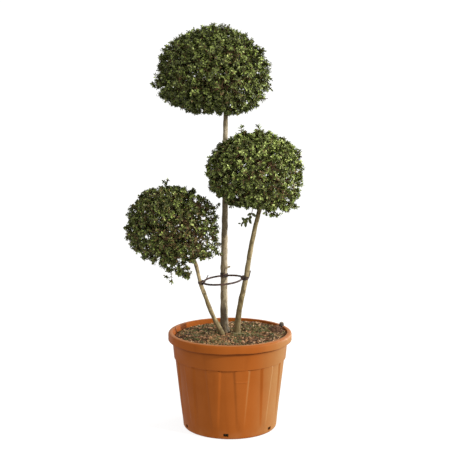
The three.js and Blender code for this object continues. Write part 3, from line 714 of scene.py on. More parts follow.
class Finish:
    """A node material: noise, masks and mixes of object coordinates that end in one shader."""

    def __init__(self, name, settings):
        self.material = bpy.data.materials.new(name)
        self.material.use_nodes = True
        self.tree = self.material.node_tree
        self.shader = self.tree.nodes["Principled BSDF"]
        for socket, value in settings.items():
            self.shader.inputs[socket].default_value = value
        self.place = self.node("ShaderNodeTexCoord", "Object")

    def node(self, kind, output, values=None, **settings):
        return add_node(self.tree, kind, output, values, **settings)

    def feed(self, socket, value):
        self.tree.links.new(value, self.shader.inputs[socket])

    def noise(self, scale, detail, stretch=(1, 1, 1), shift=0):
        """Noise whose features are about 1 / scale metres across."""
        placing = {"Vector": self.place, "Scale": stretch, "Location": (shift,) * 3}
        moved = self.node("ShaderNodeMapping", 0, placing)
        return self.node("ShaderNodeTexNoise", "Fac", {"Vector": moved, "Scale": scale, "Detail": detail})

    def cells(self, scale, stretch):
        """Distance to the nearest of scattered points, in cells."""
        moved = self.node("ShaderNodeMapping", 0, {"Vector": self.place, "Scale": stretch})
        return self.node("ShaderNodeTexVoronoi", "Distance", {"Vector": moved, "Scale": scale})

    def axis(self, name):
        return self.node("ShaderNodeSeparateXYZ", name, {"Vector": self.place})

    def facing(self, name):
        """How far the surface faces along an axis of the object, from -1 to 1."""
        normal = self.node("ShaderNodeTexCoord", "Normal")
        return self.node("ShaderNodeSeparateXYZ", name, {"Vector": normal})

    def band(self, value, low, high, first=0, last=1):
        """A value carried smoothly from first to last as the input goes from low to high."""
        values = {"Value": value, "From Min": low, "From Max": high, "To Min": first, "To Max": last}
        return self.node("ShaderNodeMapRange", "Result", values, interpolation_type="SMOOTHSTEP")

    def cloud(self, scale, detail, low, high, first=0, last=1, stretch=(1, 1, 1), shift=0):
        """Noise carried smoothly from first to last as it goes from low to high."""
        return self.band(self.noise(scale, detail, stretch, shift), low, high, first, last)

    def times(self, first, second):
        return self.node("ShaderNodeMath", 0, {0: first, 1: second}, operation="MULTIPLY")

    def plus(self, first, second):
        return self.node("ShaderNodeMath", 0, {0: first, 1: second}, operation="ADD")

    def paint(self, colours, **masks):
        """The base colour with the other colours laid over it in turn, each by its mask."""
        colour = linear(*colours["base"])
        for name, mask in masks.items():
            values = {0: mask, 6: colour, 7: linear(*colours[name])}
            colour = self.node("ShaderNodeMix", 2, values, data_type="RGBA")
        self.feed("Base Color", colour)

    def rough(self, scale, detail, low, high):
        self.feed("Roughness", self.cloud(scale, detail, *NOISE_SPAN, low, high))

    def bump(self, height, depth, strength=1.0):
        values = {"Height": height, "Distance": depth, "Strength": strength}
        self.feed("Normal", self.node("ShaderNodeBump", 0, values))


def plain_finish(kind, name, *colours):
    """A finish between two colours, with noise in its colour, its roughness and its grain."""
    gloss, mottle, rough, (scale, detail, *depth) = PLAIN_FINISHES[kind]
    finish = Finish(name, {"Specular IOR Level": gloss})
    finish.paint(dict(zip(("base", "mottle"), colours)), mottle=finish.cloud(*mottle))
    finish.rough(*rough)
    finish.bump(finish.noise(scale, detail), *depth)
    return finish.material


def pot_finish():
    """Moulded plastic: streaked, dusty at the foot, a paler lip top from dust and painted highlight, painted
    sheen on the right side, painted shade under the rim.
    """
    finish = Finish("pot_plastic", {"Specular IOR Level": 0.15, "Specular Tint": POT_GLOSS_TINT})
    height = finish.axis("Z")
    streaks = finish.cloud(38, 3, 0.5, 0.78, 0, 0.5, (1, 1, 0.06), 3)
    dust = finish.times(finish.band(height, 0.045, 0.004), finish.cloud(24, 4, 0.38, 0.72, 0, 0.4))
    # Painted sheen: the surface facing the key light, on the right, is made paler instead of showing a
    # reflection
    sunny = finish.band(finish.facing("X"), 0.34, 1.0, 0, 0.76)
    sunny = finish.times(sunny, finish.band(finish.axis("X"), 0.0, 0.06))
    sunny = finish.times(sunny, finish.cloud(11, 3, 0.25, 0.7, 0.75, 1.0, shift=5))
    # Painted shade: a dark band round the pot just under the rim, where the rim's shadow falls
    grime = finish.times(finish.band(height, 0.307, 0.3195, 0, 0.8), finish.band(height, 0.3225, 0.3205))
    # Painted highlight as well as dust: the upward face of the lip top is made paler
    lip = finish.times(finish.band(finish.facing("Z"), 0.7, 0.98), finish.band(height, 0.346, 0.35, 0, 0.32))
    finish.paint(POT_COLOURS, cloud=finish.cloud(7, 4, 0.3, 0.7), streaks=streaks, dust=dust, faded=sunny,
                 grime=grime, lip=lip)
    finish.rough(16, 4, 0.47, 0.6)
    finish.bump(finish.plus(finish.noise(420, 2), finish.times(streaks, 0.8)), 0.00022, 0.5)
    return finish.material


def soil_finish():
    finish = Finish("soil_mix", {"Roughness": 0.95, "Specular IOR Level": 0.2})
    crumbs = finish.cloud(190, 5, 0.35, 0.66)
    moss = finish.cloud(22, 3, 0.55, 0.7, 0, 0.55, shift=2)
    finish.paint(SOIL_COLOURS, crumbs=crumbs, moss=moss)
    finish.bump(finish.noise(300, 5), 0.003)
    return finish.material


def bark_finish(name):
    """Smooth privet bark: lengthwise streaks, pale patches, algae, dark blotches and pale pores, with painted
    shade on the side away from the key light and a painted shadow low down.
    """
    finish = Finish(name, {"Specular IOR Level": 0.3})
    height = finish.axis("Z")
    streaks = finish.cloud(260, 4, 0.3, 0.7, stretch=(1, 1, 0.09))
    patches = finish.times(finish.cloud(30, 4, 0.38, 0.66, stretch=(1, 1, 0.35), shift=1), 0.85)
    algae = finish.cloud(16, 3, 0.5, 0.72, 0, 0.6, (1, 1, 0.5), 6)
    side = finish.plus(finish.facing("X"), finish.cloud(24, 3, 0.3, 0.7, -0.4, 0.4, (1, 1, 0.3), 8))
    # Painted shade on the side facing away from the key light, less of it high on the trunk
    damp = finish.times(finish.band(side, 0.1, -0.65), finish.band(height, 1.0, 0.86, 0.35, 0.9))
    # Painted shadow over all but the right edge of the lower limb, where the right stem's shadow falls, and
    # painted shade near the soil all round
    stain = finish.times(finish.band(side, 0.95, 0.45), finish.band(height, 0.455, 0.425, 0, 0.75))
    stain = finish.plus(stain, finish.band(height, 0.375, 0.35, 0, 0.5))
    blotches = finish.cloud(62, 3, 0.53, 0.63, 0, 0.6, (1, 1, 0.9), 12)
    pores = finish.band(finish.cells(210, (1, 1, 2.2)), 0.2, 0.08)
    pores = finish.times(pores, finish.cloud(45, 2, 0.45, 0.6, shift=4))
    finish.paint(BARK_COLOURS[name], streaks=streaks, patches=patches, algae=algae, damp=damp, stain=stain,
                 blotches=blotches, pores=finish.times(pores, 0.55))
    finish.rough(70, 3, 0.72, 0.9)
    finish.bump(finish.plus(finish.times(streaks, 0.6), finish.times(pores, 0.9)), 0.0007)
    return finish.material


def peg_finish():
    finish = Finish("peg_plastic", {"Specular IOR Level": 0.45})
    dust = finish.cloud(120, 4, 0.5, 0.72, 0, 0.5)
    top = finish.times(finish.band(finish.facing("Z"), 0.1, 0.8), finish.cloud(90, 3, 0.3, 0.6, 0.5, 0.95))
    finish.paint(PEG_COLOURS, dust=dust, top=top)
    finish.rough(160, 3, 0.4, 0.7)
    finish.bump(finish.noise(600, 2), 0.0003)
    return finish.material


def stage_finish():
    glow = {"Emission Color": WHITE, "Emission Strength": STAGE_GLOW}
    finish = Finish("studio_floor", {"Roughness": 0.9, "Specular IOR Level": 0.1, **glow})
    finish.paint(STAGE_COLOURS, cloud=finish.noise(3, 2))
    return finish.material


# Pot

def body_radius(height):
    return lerp(BASE_RADIUS, BODY_TOP_RADIUS, (height - BODY_FOOT) / (BODY_TOP - BODY_FOOT))


def panel_rise(angle, height):
    """How far the panels, and the line under the bare label field of the front one, stand out of the body."""
    along = np.clip((height - PANEL_BOTTOM) / (BODY_TOP - PANEL_BOTTOM), 0, 1)
    aside = angle - PANEL_CENTRE
    from_centre = np.abs(aside - PANEL_PITCH * np.round(aside / PANEL_PITCH))
    corner = np.clip((height - BODY_TOP) / PANEL_CORNER_HEIGHT + 1, 0, 1)
    half_width = lerp(*PANEL_HALF_WIDTHS, along) - PANEL_CORNER_WIDTH * (1 - np.sqrt(1 - corner ** 2))
    inside = 1 - smoothstep(from_centre, half_width - PANEL_EDGE, half_width + PANEL_EDGE)
    line = np.exp(-((height - LABEL_LINE) / LABEL_LINE_WIDTH) ** 2) * (np.abs(aside) < PANEL_PITCH / 2)
    return (PANEL_RISE * np.sqrt(along) + LABEL_LINE_RISE * line) * inside


def pot_rows():
    """Section of the pot as rows of radius and height, those with panels, and those beside the slots."""
    foot = rounded([
        (BASE_RADIUS / 2, 0, 0),
        (BASE_RADIUS, 0, BASE_ROUNDING),
        (body_radius(DRAIN_BOTTOM), DRAIN_BOTTOM, 0),
    ])
    heights = np.unique(np.concatenate([
        [DRAIN_TOP],
        np.arange(BODY_TOP, DRAIN_TOP + BODY_ROW_HEIGHT, -BODY_ROW_HEIGHT),
        LABEL_LINE + LABEL_LINE_WIDTH * np.array(LABEL_LINE_ROWS),
        BODY_TOP - PANEL_CORNER_HEIGHT * np.array(PANEL_CORNER_ROWS),
    ]))
    body = np.stack([body_radius(heights), heights], axis=1)
    top = rounded([
        (BODY_TOP_RADIUS, BODY_TOP, 0),
        (COLLAR_BOTTOM_RADIUS, COLLAR_BOTTOM, COLLAR_ROUNDING),
        (COLLAR_TOP_RADIUS, RIM_UNDERSIDE, RIM_INNER_ROUNDING),
        (RIM_RADIUS - POT_WALL, RIM_UNDERSIDE, RIM_INNER_ROUNDING),
        (RIM_RADIUS - POT_WALL, RIM_BOTTOM, RIM_BOTTOM_ROUNDINGS[0]),
        (RIM_RADIUS, RIM_BOTTOM, RIM_BOTTOM_ROUNDINGS[1]),
        (RIM_RADIUS, POT_HEIGHT, LIP_ROUNDINGS[0]),
        (INSIDE_TOP_RADIUS + LIP_INNER_EDGE, POT_HEIGHT, LIP_ROUNDINGS[1]),
        (INSIDE_TOP_RADIUS, RIM_UNDERSIDE, 0),
        (INSIDE_STEP_RADIUS, INSIDE_STEP, STEP_ROUNDING),
        (BODY_TOP_RADIUS - POT_WALL, BODY_TOP, 0),
    ])
    slot_top = (body_radius(DRAIN_TOP) - POT_WALL, DRAIN_TOP)
    inside_foot = body_radius(POT_FLOOR) - POT_WALL
    floor = rounded([
        (body_radius(DRAIN_BOTTOM) - POT_WALL, DRAIN_BOTTOM, 0),
        (inside_foot, POT_FLOOR, FLOOR_ROUNDING),
        (inside_foot / 2, POT_FLOOR, 0),
    ])
    rows = np.concatenate([foot, body, top[1:], [slot_top], floor])
    panelled = slice(len(foot), len(foot) + len(body))
    return rows, panelled, len(foot) - 1, len(rows) - len(floor) - 1


def make_pot():
    rows, panelled, outer_slot, inner_slot = pot_rows()
    angle = np.arange(POT_COLUMNS) * 360 / POT_COLUMNS
    radius = np.repeat(rows[:, :1], POT_COLUMNS, axis=1)
    height = np.repeat(rows[:, 1:], POT_COLUMNS, axis=1)
    radius[panelled] += panel_rise(np.where(angle > 180, angle - 360, angle), height[panelled])
    on_rim = (rows[:, 0] > RIM_WAVER_RADIUS) & (rows[:, 1] < RIM_WAVER_TOP)
    waver = sum(share * np.sin(np.radians(turns * angle) + phase) for turns, phase, share in RIM_WAVES)
    height += on_rim[:, None] * RIM_WAVER * waver
    quads, underside, inner_floor = capped_grid(len(rows), POT_COLUMNS)
    kept = np.ones(len(quads), bool)
    slots = []
    for number in range(DRAIN_COUNT):
        centre = DRAIN_CENTRE + number * 360 // DRAIN_COUNT
        columns = np.arange(centre - DRAIN_HALF_WIDTH, centre + DRAIN_HALF_WIDTH + 1) % POT_COLUMNS
        outside = outer_slot * POT_COLUMNS + columns
        inside = inner_slot * POT_COLUMNS + columns
        kept[outside[:-1]] = False
        kept[inside[:-1]] = False
        outer = np.concatenate([outside, outside[::-1] + POT_COLUMNS])
        inner = np.concatenate([inside + POT_COLUMNS, inside[::-1]])
        slots.append(np.stack([outer, np.roll(outer, -1), np.roll(inner, -1), inner], axis=1))
    shape = turned(radius, np.radians(angle), height), [quads[kept], *slots, underside, inner_floor]
    make_piece("pot_moulded", [shape], pot_finish(), "pot", POT_SHARP)


# Soil

def soil_height(radius, angle):
    """Height of the mound before its grain, at a radius and an angle in radians from the front."""
    edge = INSIDE_TOP_RADIUS - SOIL_INSET
    share = np.clip((edge - radius) / (edge - SOIL_CROWN_RADIUS), 0, 1)
    slope = lerp(SOIL_EDGE, SOIL_TOP, np.sqrt(share))
    slope = slope + SOIL_TILT * np.cos(angle - SOIL_HIGH_SIDE) * (1 - share)
    lump = SOIL_LUMP * np.sin(SOIL_LUMPS_ROUND * angle + radius / SOIL_LUMP_PITCH)
    return slope + lump * smoothstep(share, *SOIL_LUMPS_FROM) * (1 - smoothstep(share, *SOIL_LUMPS_TO))


def soil_piece(name, shape, material, sharp=None):
    make_piece(name, [shape], material, "soil", sharp)


def make_soil(rng):
    """The mound, and under it the mix that fills the pot."""
    angle = round_angles(SOIL_COLUMNS)[None]
    edge = SOIL_EDGE_RADIUS + SOIL_TILT * WALL_SLOPE * np.cos(angle - SOIL_HIGH_SIDE)
    radius = np.linspace(SOIL_HEART, 1, SOIL_RINGS)[::-1, None] * edge
    top = turned(radius, angle, soil_height(radius, angle))
    grain = np.zeros(radius.shape)
    for pitch, size in SOIL_WAVES:
        for _ in range(SOIL_WAVE_COUNT):
            way = rng.uniform(0, math.tau)
            phase = rng.uniform(0, math.tau)
            along = top[..., 0] * math.cos(way) + top[..., 1] * math.sin(way)
            grain += size / SOIL_WAVE_SPREAD * np.sin(along * math.tau / pitch + phase)
    grain += rng.normal(0, SOIL_GRAIN, radius.shape)
    top[..., 2] += grain
    skirt = np.array([
        (body_radius(POT_FLOOR) - POT_WALL - SOIL_INSET - FLOOR_ROUNDING, POT_FLOOR + SOIL_FLOOR_GAP),
        (BODY_TOP_RADIUS - POT_WALL - SOIL_INSET, BODY_TOP),
        (INSIDE_STEP_RADIUS - SOIL_INSET, INSIDE_STEP),
    ])
    rows = np.concatenate([turned(skirt[:, :1], angle, skirt[:, 1:]), top])
    soil_piece("soil_mound", (rows, capped_grid(len(rows), SOIL_COLUMNS)), soil_finish())


def clear_of_stems(x, y, margin):
    """True for places on the soil that stand off the stems by a margin, and off the peg."""
    clear = np.hypot(x - PEG_PLACE[0], y - PEG_PLACE[1]) > PEG_HEAD_RADIUS + SOIL_CLEARANCE
    for stem in STEMS:
        foot = stem["route"][0]
        clear &= np.hypot(x - foot[0], y - foot[1]) > stem["girth"][0] * (1 + stem["flare"]) + margin
    return clear


def soil_places(rng, count, margin):
    """Places dealt out evenly over the soil, clear of the stems and the wall."""
    radius = (SOIL_EDGE_RADIUS - margin) * np.sqrt(rng.uniform(0, 1, count))
    angle = rng.uniform(0, math.tau, count)
    places = turned(radius, angle, soil_height(radius, angle))
    return places[clear_of_stems(places[:, 0], places[:, 1], SOIL_CLEARANCE)]


def patch_places(rng, count, middle, spread, heap=0):
    """Places in a patch of the soil, heaped toward its middle."""
    offset = rng.normal(0, 1, (count, 2))
    x, y = (np.array(middle) + offset * spread).T
    radius, angle = np.hypot(x, y), np.arctan2(x, -y)
    rise = heap * np.exp(-0.5 * np.sum(offset ** 2, axis=1)) * rng.uniform(0, 1, count)
    inside = (radius < SOIL_EDGE_RADIUS - PATCH_MARGIN) & clear_of_stems(x, y, 0)
    return np.stack([x, y, soil_height(radius, angle) + rise], axis=1)[inside]


def chip_places(rng, kind, count):
    """Places of one kind of chip: coarse bark in a heap, the others all over, the tan ones in a patch too."""
    if kind == "bark":
        return patch_places(rng, count, BARK_PLACE, BARK_SPREAD, BARK_HEAP)
    places = soil_places(rng, count, CHIP_MARGIN)
    if kind == "tan":
        places = np.concatenate([places, patch_places(rng, TAN_COUNT, TAN_PLACE, TAN_SPREAD)])
    return places


def chip_shapes(rng, places, lengths, bulk):
    """Flat slivers with uneven sides, lying at all angles."""
    count = len(places)
    length = rng.uniform(*lengths, count) * rng.uniform(*CHIP_LENGTH_SHARES, count)
    width = length * rng.uniform(*CHIP_WIDTH_SHARES, count)
    thick = (rng.uniform(*CHIP_THICKNESS, count) * bulk)[:, None]
    turn = rng.uniform(0, math.tau, count)
    normal = leaning(rng, count, CHIP_LEAN)
    along = np.stack([np.cos(turn), np.sin(turn), np.zeros(count)], axis=1)
    along = unit(along - np.sum(along * normal, axis=1, keepdims=True) * normal)
    across = np.cross(normal, along)
    angle = (np.arange(CHIP_SIDES) * math.tau / CHIP_SIDES)[None]
    angle = angle + rng.uniform(-CHIP_SKEW, CHIP_SKEW, (count, CHIP_SIDES))
    uneven = rng.uniform(*CHIP_EDGE_SHARES, (count, CHIP_SIDES))
    flat = (np.cos(angle) * uneven * length[:, None] / 2)[..., None] * along[:, None]
    flat = flat + (np.sin(angle) * uneven * width[:, None] / 2)[..., None] * across[:, None]
    middle = (places + normal * thick * CHIP_LIFT_SHARE + CHIP_LIFT * UP)[:, None]
    step = (normal * thick / 2)[:, None]
    vertices = np.stack([middle + flat - step, middle + flat * CHIP_TOP_SHARE + step], axis=1)
    return vertices, repeated(capped_grid(2, CHIP_SIDES), count, 2 * CHIP_SIDES)


def make_chips(rng):
    for kind, (count, *colours) in CHIPS.items():
        places = chip_places(rng, kind, count)
        lengths, bulk = (BARK_LENGTH, BARK_BULK) if kind == "bark" else (CHIP_LENGTH, 1)
        name = "chips_" + kind
        shape = chip_shapes(rng, places, lengths, bulk)
        soil_piece(name, shape, plain_finish("chip", name, *colours), CHIP_SHARP)


def make_moss(rng):
    """Moss and seedling grass: tufts of fine pointed blades."""
    centres = soil_places(rng, MOSS_TUFTS, MOSS_MARGIN)
    centres = np.concatenate([centres, patch_places(rng, MOSS_PATCH_TUFTS, MOSS_PLACE, MOSS_SPREAD)])
    spread = np.repeat(rng.uniform(*MOSS_TUFT_SIZE, len(centres)), MOSS_BLADES)[:, None]
    foot = np.repeat(centres, MOSS_BLADES, axis=0)
    foot[:, :2] += rng.normal(0, 1, (len(foot), 2)) * spread
    inside = np.hypot(foot[:, 0], foot[:, 1]) < SOIL_EDGE_RADIUS - BLADE_MARGIN
    foot = foot[inside & clear_of_stems(foot[:, 0], foot[:, 1], 0)]
    count = len(foot)
    length = rng.uniform(*BLADE_LENGTH, count)[:, None]
    lean = leaning(rng, count, BLADE_LEAN)
    side = unit(np.cross(lean, rng.normal(0, 1, (count, 3))))
    middle = foot + lean * length * BLADE_KNEE
    tip = foot + lean * length + side * BLADE_SWEEP * length - BLADE_DROOP * UP
    low, high = (side * width for width in BLADE_HALF_WIDTHS)
    vertices = np.stack([foot - low, foot + low, middle + high, tip, middle - high], axis=1)
    blade = np.arange(vertices.shape[1])[None]
    shape = vertices, repeated([blade], count, blade.size)
    soil_piece("moss_tufts", shape, plain_finish("leaf", "moss", *MOSS_COLOURS))


def make_straw():
    """A dry grass straw across the foot of the right stem."""
    path = curve_points(STRAW, STRAW_STEP)
    shape = tubes(path[None], STRAW_RADIUS, STRAW_SIDES)
    soil_piece("straw", shape, plain_finish("chip", "chips_straw", *STRAW_COLOURS))


# Trunk and stems

def stem_relief(stem, angle, height, along, rng):
    """Height of the bark over the even taper: lumps, lengthwise furrows and healed knots."""
    relief = sum(size * waves(rng, angle * turns, along, *form) for size, turns, *form in BARK_WAVES)
    for knot_height, knot_angle, rise, size in stem["knots"]:
        apart = (angle - math.radians(knot_angle) + math.pi) % math.tau - math.pi
        reach = ((height - knot_height) / size) ** 2 + (apart * stem["girth"][0] / size) ** 2
        relief += rise * (np.exp(-reach) - KNOT_HOLLOW * np.exp(-reach * KNOT_HOLLOW_SHARPNESS))
    return relief


def stem_girth(stem, along, angle):
    """Radius of a limb before its relief, tapering and flared with lobes at the foot."""
    taper = lerp(*stem["girth"], along / along.max())
    lobes = 1 + FLARE_LOBE_DEPTH * np.cos(FLARE_LOBES * angle)
    return taper * (1 + stem["flare"] * lobes * np.exp(-along / FLARE_HEIGHT))


def stub():
    """The cut stub of a twig on the trunk."""
    share = np.linspace(0, 1, STUB_POINTS)
    path = lerp(*STUB_ENDS, share[:, None])
    path[:, 2] += STUB_ARCH * np.sin(share * STUB_ARCH_TURN)
    girth = lerp(*STUB_GIRTH, share) * (1 + STUB_RIPPLE * np.sin(share * STUB_RIPPLE_TURN))
    return tubes(path[None], girth, STUB_SIDES)


def make_stem(stem, material, rng):
    axis = curve_points(stem["route"], BARK_STEP)
    along = lengths_along(axis)[:, None]
    angle = round_angles(BARK_SIDES)[None]
    heading = unit(np.gradient(axis, axis=0))
    right = unit(np.cross(np.cross(heading, RIGHT), heading))
    front = np.cross(right, heading)
    radius = stem_girth(stem, along, angle) + stem_relief(stem, angle, axis[:, 2:], along, rng)
    ring = np.sin(angle)[..., None] * right[:, None] + np.cos(angle)[..., None] * front[:, None]
    vertices = axis[:, None] + ring * radius[..., None]
    vertices[0, :, 2] = np.minimum(vertices[0, :, 2], stem["route"][0][2]) - FOOT_SINK
    shapes = [(vertices, capped_grid(len(axis), BARK_SIDES))]
    if stem is TRUNK:
        shapes.append(stub())
    make_piece(stem["node"] + "_bark", shapes, material, stem["node"])


# Ring and ties

def ring_height(x, y):
    return RING_CENTRE[2] + RING_SLOPE_FRONT * (y - RING_CENTRE[1]) + RING_SLOPE_LEFT * (x - RING_CENTRE[0])


def make_ring(rng):
    """The hoop, a little uneven in thickness and height."""
    turn = round_angles(RING_STEPS)[:, None]
    angle = round_angles(RING_SIDES)[None]
    swell = RING_SWELL * waves(rng, turn * RING_SWELL_TURNS, angle * 0, *RING_SWELL_WAVES)
    ripple = RING_RIPPLE * waves(rng, angle, turn * RING_RIPPLE_LENGTH, *RING_RIPPLE_WAVES)
    girth = RING_THICKNESS / 2 * (1 + swell + ripple)
    out = RING_RADIUS + girth * np.cos(angle)
    x = RING_CENTRE[0] + out * np.cos(turn)
    y = RING_CENTRE[1] + out * np.sin(turn)
    sag = RING_SAG * np.sin(turn * RING_SAG_TURNS + RING_SAG_PHASE)
    z = ring_height(x, y) + girth * np.sin(angle) + sag
    shape = np.stack([x, y, z], axis=-1), [grid_faces(RING_STEPS, RING_SIDES, closed=True)[:, ::-1]]
    material = plain_finish("ring", "ring_plastic", *RING_COLOURS)
    make_piece("ring_hoop", [shape], material, "ring")


def make_tie(stem, node, tail_side, tail_lean, material):
    """Crossed turns of wire round a stem and the ring, with a twisted tail."""
    axis = curve_points(stem["route"], TIE_AXIS_STEP)
    crossing = np.argmin(np.abs(axis[:, 2] - ring_height(axis[:, 0], axis[:, 1])))
    middle = axis[crossing]
    stem_reach = lerp(*stem["girth"], crossing / len(axis)) + WIRE_RADIUS
    ring_reach = RING_THICKNESS / 2 + WIRE_RADIUS
    outward = unit((middle - RING_CENTRE) * [1, 1, 0])
    tangent = np.array([-outward[1], outward[0], 0])
    on_ring = RING_CENTRE + outward * RING_RADIUS
    on_ring[2] = ring_height(on_ring[0], on_ring[1])
    apart = (on_ring - middle) @ outward
    to_ring = outward * np.sign(apart)
    gap = abs(apart)
    far = gap + ring_reach
    near = [share * stem_reach for share in TURN_STEM_SHARES] + [share * gap for share in TURN_GAP_SHARES]
    out = near + [far, far + TURN_SLACK]
    half = np.stack([out, TURN_ASIDE * stem_reach, TURN_RISE * ring_reach], axis=1)
    out, aside, rise = np.concatenate([half, half[-2::-1] * [1, -1, -1]]).T[..., None]
    shapes = []
    for wrap in range(2 * WIRE_WRAPS):
        cross = 1 if wrap % 2 else -1
        layer = (wrap // 2 - (WIRE_WRAPS - 1) / 2) * WIRE_RADIUS * WIRE_PITCH
        path = curve_points(middle + to_ring * out + tangent * aside + UP * (cross * rise + layer), WIRE_STEP)
        shapes.append(tubes(path[None], WIRE_RADIUS, WIRE_SIDES))
    share = np.linspace(0, 1, TAIL_POINTS)
    tail_foot = middle + outward * tail_side * (far if tail_side < 0 else stem_reach)
    for strand in (0, math.pi):
        twist = share * TAIL_TURNS * math.tau + strand
        path = tail_foot + share[:, None] * np.array([tail_lean, 0, TAIL_LENGTH])
        path = path + np.stack([np.cos(twist), np.sin(twist), 0 * twist], axis=1) * WIRE_RADIUS
        shapes.append(tubes(path[None], WIRE_RADIUS, WIRE_SIDES))
    make_piece(node + "_wire", shapes, material, node)


# Peg

def make_peg():
    """The peg, ribbed round the grip of its head."""
    rows = rounded(PEG_SECTION)
    radius, height = rows[:, :1], rows[:, 1:]
    low, high = PEG_GRIP
    angle = round_angles(PEG_COLUMNS)[None]
    on_grip = (height > low) & (height < high) & (radius > PEG_GRIP_RADIUS)
    radius = radius - on_grip * PEG_GRIP_DEPTH * (np.cos(PEG_GRIP_RIBS * angle) > 0)
    shape = turned(radius, angle, height) + [*PEG_PLACE, 0], capped_grid(len(rows), PEG_COLUMNS)
    make_piece("peg_body", [shape], peg_finish(), "peg", PEG_SHARP)


# Growth of the clipped balls

def skin_reach(ball, way):
    """Distance from a ball's centre to its clipped skin along unit directions."""
    low = way[:, 2] < 0
    power = np.where(low, ball["square"], 2.0)
    level = np.hypot(way[:, 0], way[:, 1]) / ball["radius"]
    upright = np.abs(way[:, 2]) / np.where(low, ball["down"], ball["up"])
    smooth = (level ** power + upright ** power) ** (-1 / power)
    lumps = sum(np.sin(LUMP_PITCH * way[:, axis] + (axis + 1) * ball["seed"]) for axis in range(3))
    swell = np.ones(len(way))
    for *middle, rise, width in ball["bulges"]:
        apart = 2 - 2 * way @ unit(np.array(middle))
        swell += rise * np.exp(-apart / width ** 2)
    return smooth * (1 + LUMP_SIZE * lumps / 3) * swell


def push_at(ball, rise):
    """How far a ball leans to the right at a height below its centre."""
    return ball["push"] * (np.maximum(0, -rise) / ball["down"]) ** 2


def ball_point(ball, way, share):
    """Points at a share of the way from a ball's centre to its skin."""
    offset = way * (skin_reach(ball, way) * share)[:, None]
    offset[:, 0] += push_at(ball, offset[:, 2])
    return offset + ball["centre"]


def skin_share(ball, points):
    """Shares of the way to the skin at which points lie."""
    offset = points - ball["centre"]
    offset[:, 0] -= push_at(ball, offset[:, 2])
    return np.linalg.norm(offset, axis=1) / skin_reach(ball, unit(offset))


def spread_directions(count, draw):
    """Directions spread evenly over a sphere, each turned a little at random."""
    index = np.arange(count)
    z = 1 - 2 * (index + 0.5) / count
    level = np.sqrt(1 - z * z)
    turn = GOLDEN_ANGLE * index
    even = np.stack([level * np.cos(turn), level * np.sin(turn), z], axis=1)
    jitter = np.array([[draw() - 0.5 for _ in range(3)] for _ in range(count)])
    return unit(even + DIRECTION_JITTER * jitter)


def bezier(branches, shares):
    """Points on curved branches (foot, knee, tip) at shares of their length, and the headings there."""
    foot, knee, tip = (ends[:, None] for ends in branches)
    s = np.asarray(shares, float)[None, :, None]
    points = (1 - s) ** 2 * foot + 2 * s * (1 - s) * knee + s * s * tip
    return points, unit((1 - s) * (knee - foot) + s * (tip - knee))


def branch_out(parents, tips, shares, rng, follow=FOLLOW):
    """Branches to tips from the nearest points of their parents, which they follow before they turn away."""
    starts, headings = (each.reshape(-1, 3) for each in bezier(parents, shares))
    nearest = np.empty(len(tips), int)
    for first in range(0, len(tips), SEARCH_BATCH):
        batch = slice(first, first + SEARCH_BATCH)
        nearest[batch] = np.argmin(np.linalg.norm(tips[batch, None] - starts[None], axis=2), axis=1)
    foot = starts[nearest]
    length = np.linalg.norm(tips - foot, axis=1, keepdims=True)
    way = unit(follow * headings[nearest] + (1 - follow) * unit(tips - foot))
    knee = foot + way * length * KNEE_SHARE + rng.normal(0, WANDER, tips.shape) * length
    return foot, knee, tips


def clear_of_limbs(points, margin):
    """True for points that stand off every stem's bark by a margin."""
    clear = np.ones(len(points), bool)
    for stem in STEMS:
        axis = curve_points(stem["route"], LIMB_STEP)
        for place, radius in zip(axis, np.linspace(*stem["girth"], len(axis))):
            clear &= np.linalg.norm(points - place, axis=1) > radius + margin
    return clear


def missing_share(ball, points, spot, edges):
    """Share of the leaves that a spot takes away at points, seen from the front."""
    across, up, size, share = (*spot, GAP_SHARE)[:4]
    apart = np.hypot(points[:, 0] - ball["centre"][0] - across, points[:, 2] - ball["centre"][2] - up)
    return share * (1 - smoothstep(apart, edges[0] * size, edges[1] * size))


def out_of_gaps(ball, points, rng):
    """False for most points that lie where sky shows through the ball."""
    kept = np.ones(len(points), bool)
    for spot in ball["gaps"]:
        kept &= rng.uniform(0, 1, len(points)) > missing_share(ball, points, spot, GAP_EDGES)
    return kept


def bareness(ball, points):
    """How bare the ball is at points on its front, from 0 to 1."""
    bare = np.max([missing_share(ball, points, spot, BARE_EDGES) for spot in ball["bare"]], axis=0)
    return bare * (points[:, 1] < ball["centre"][1])


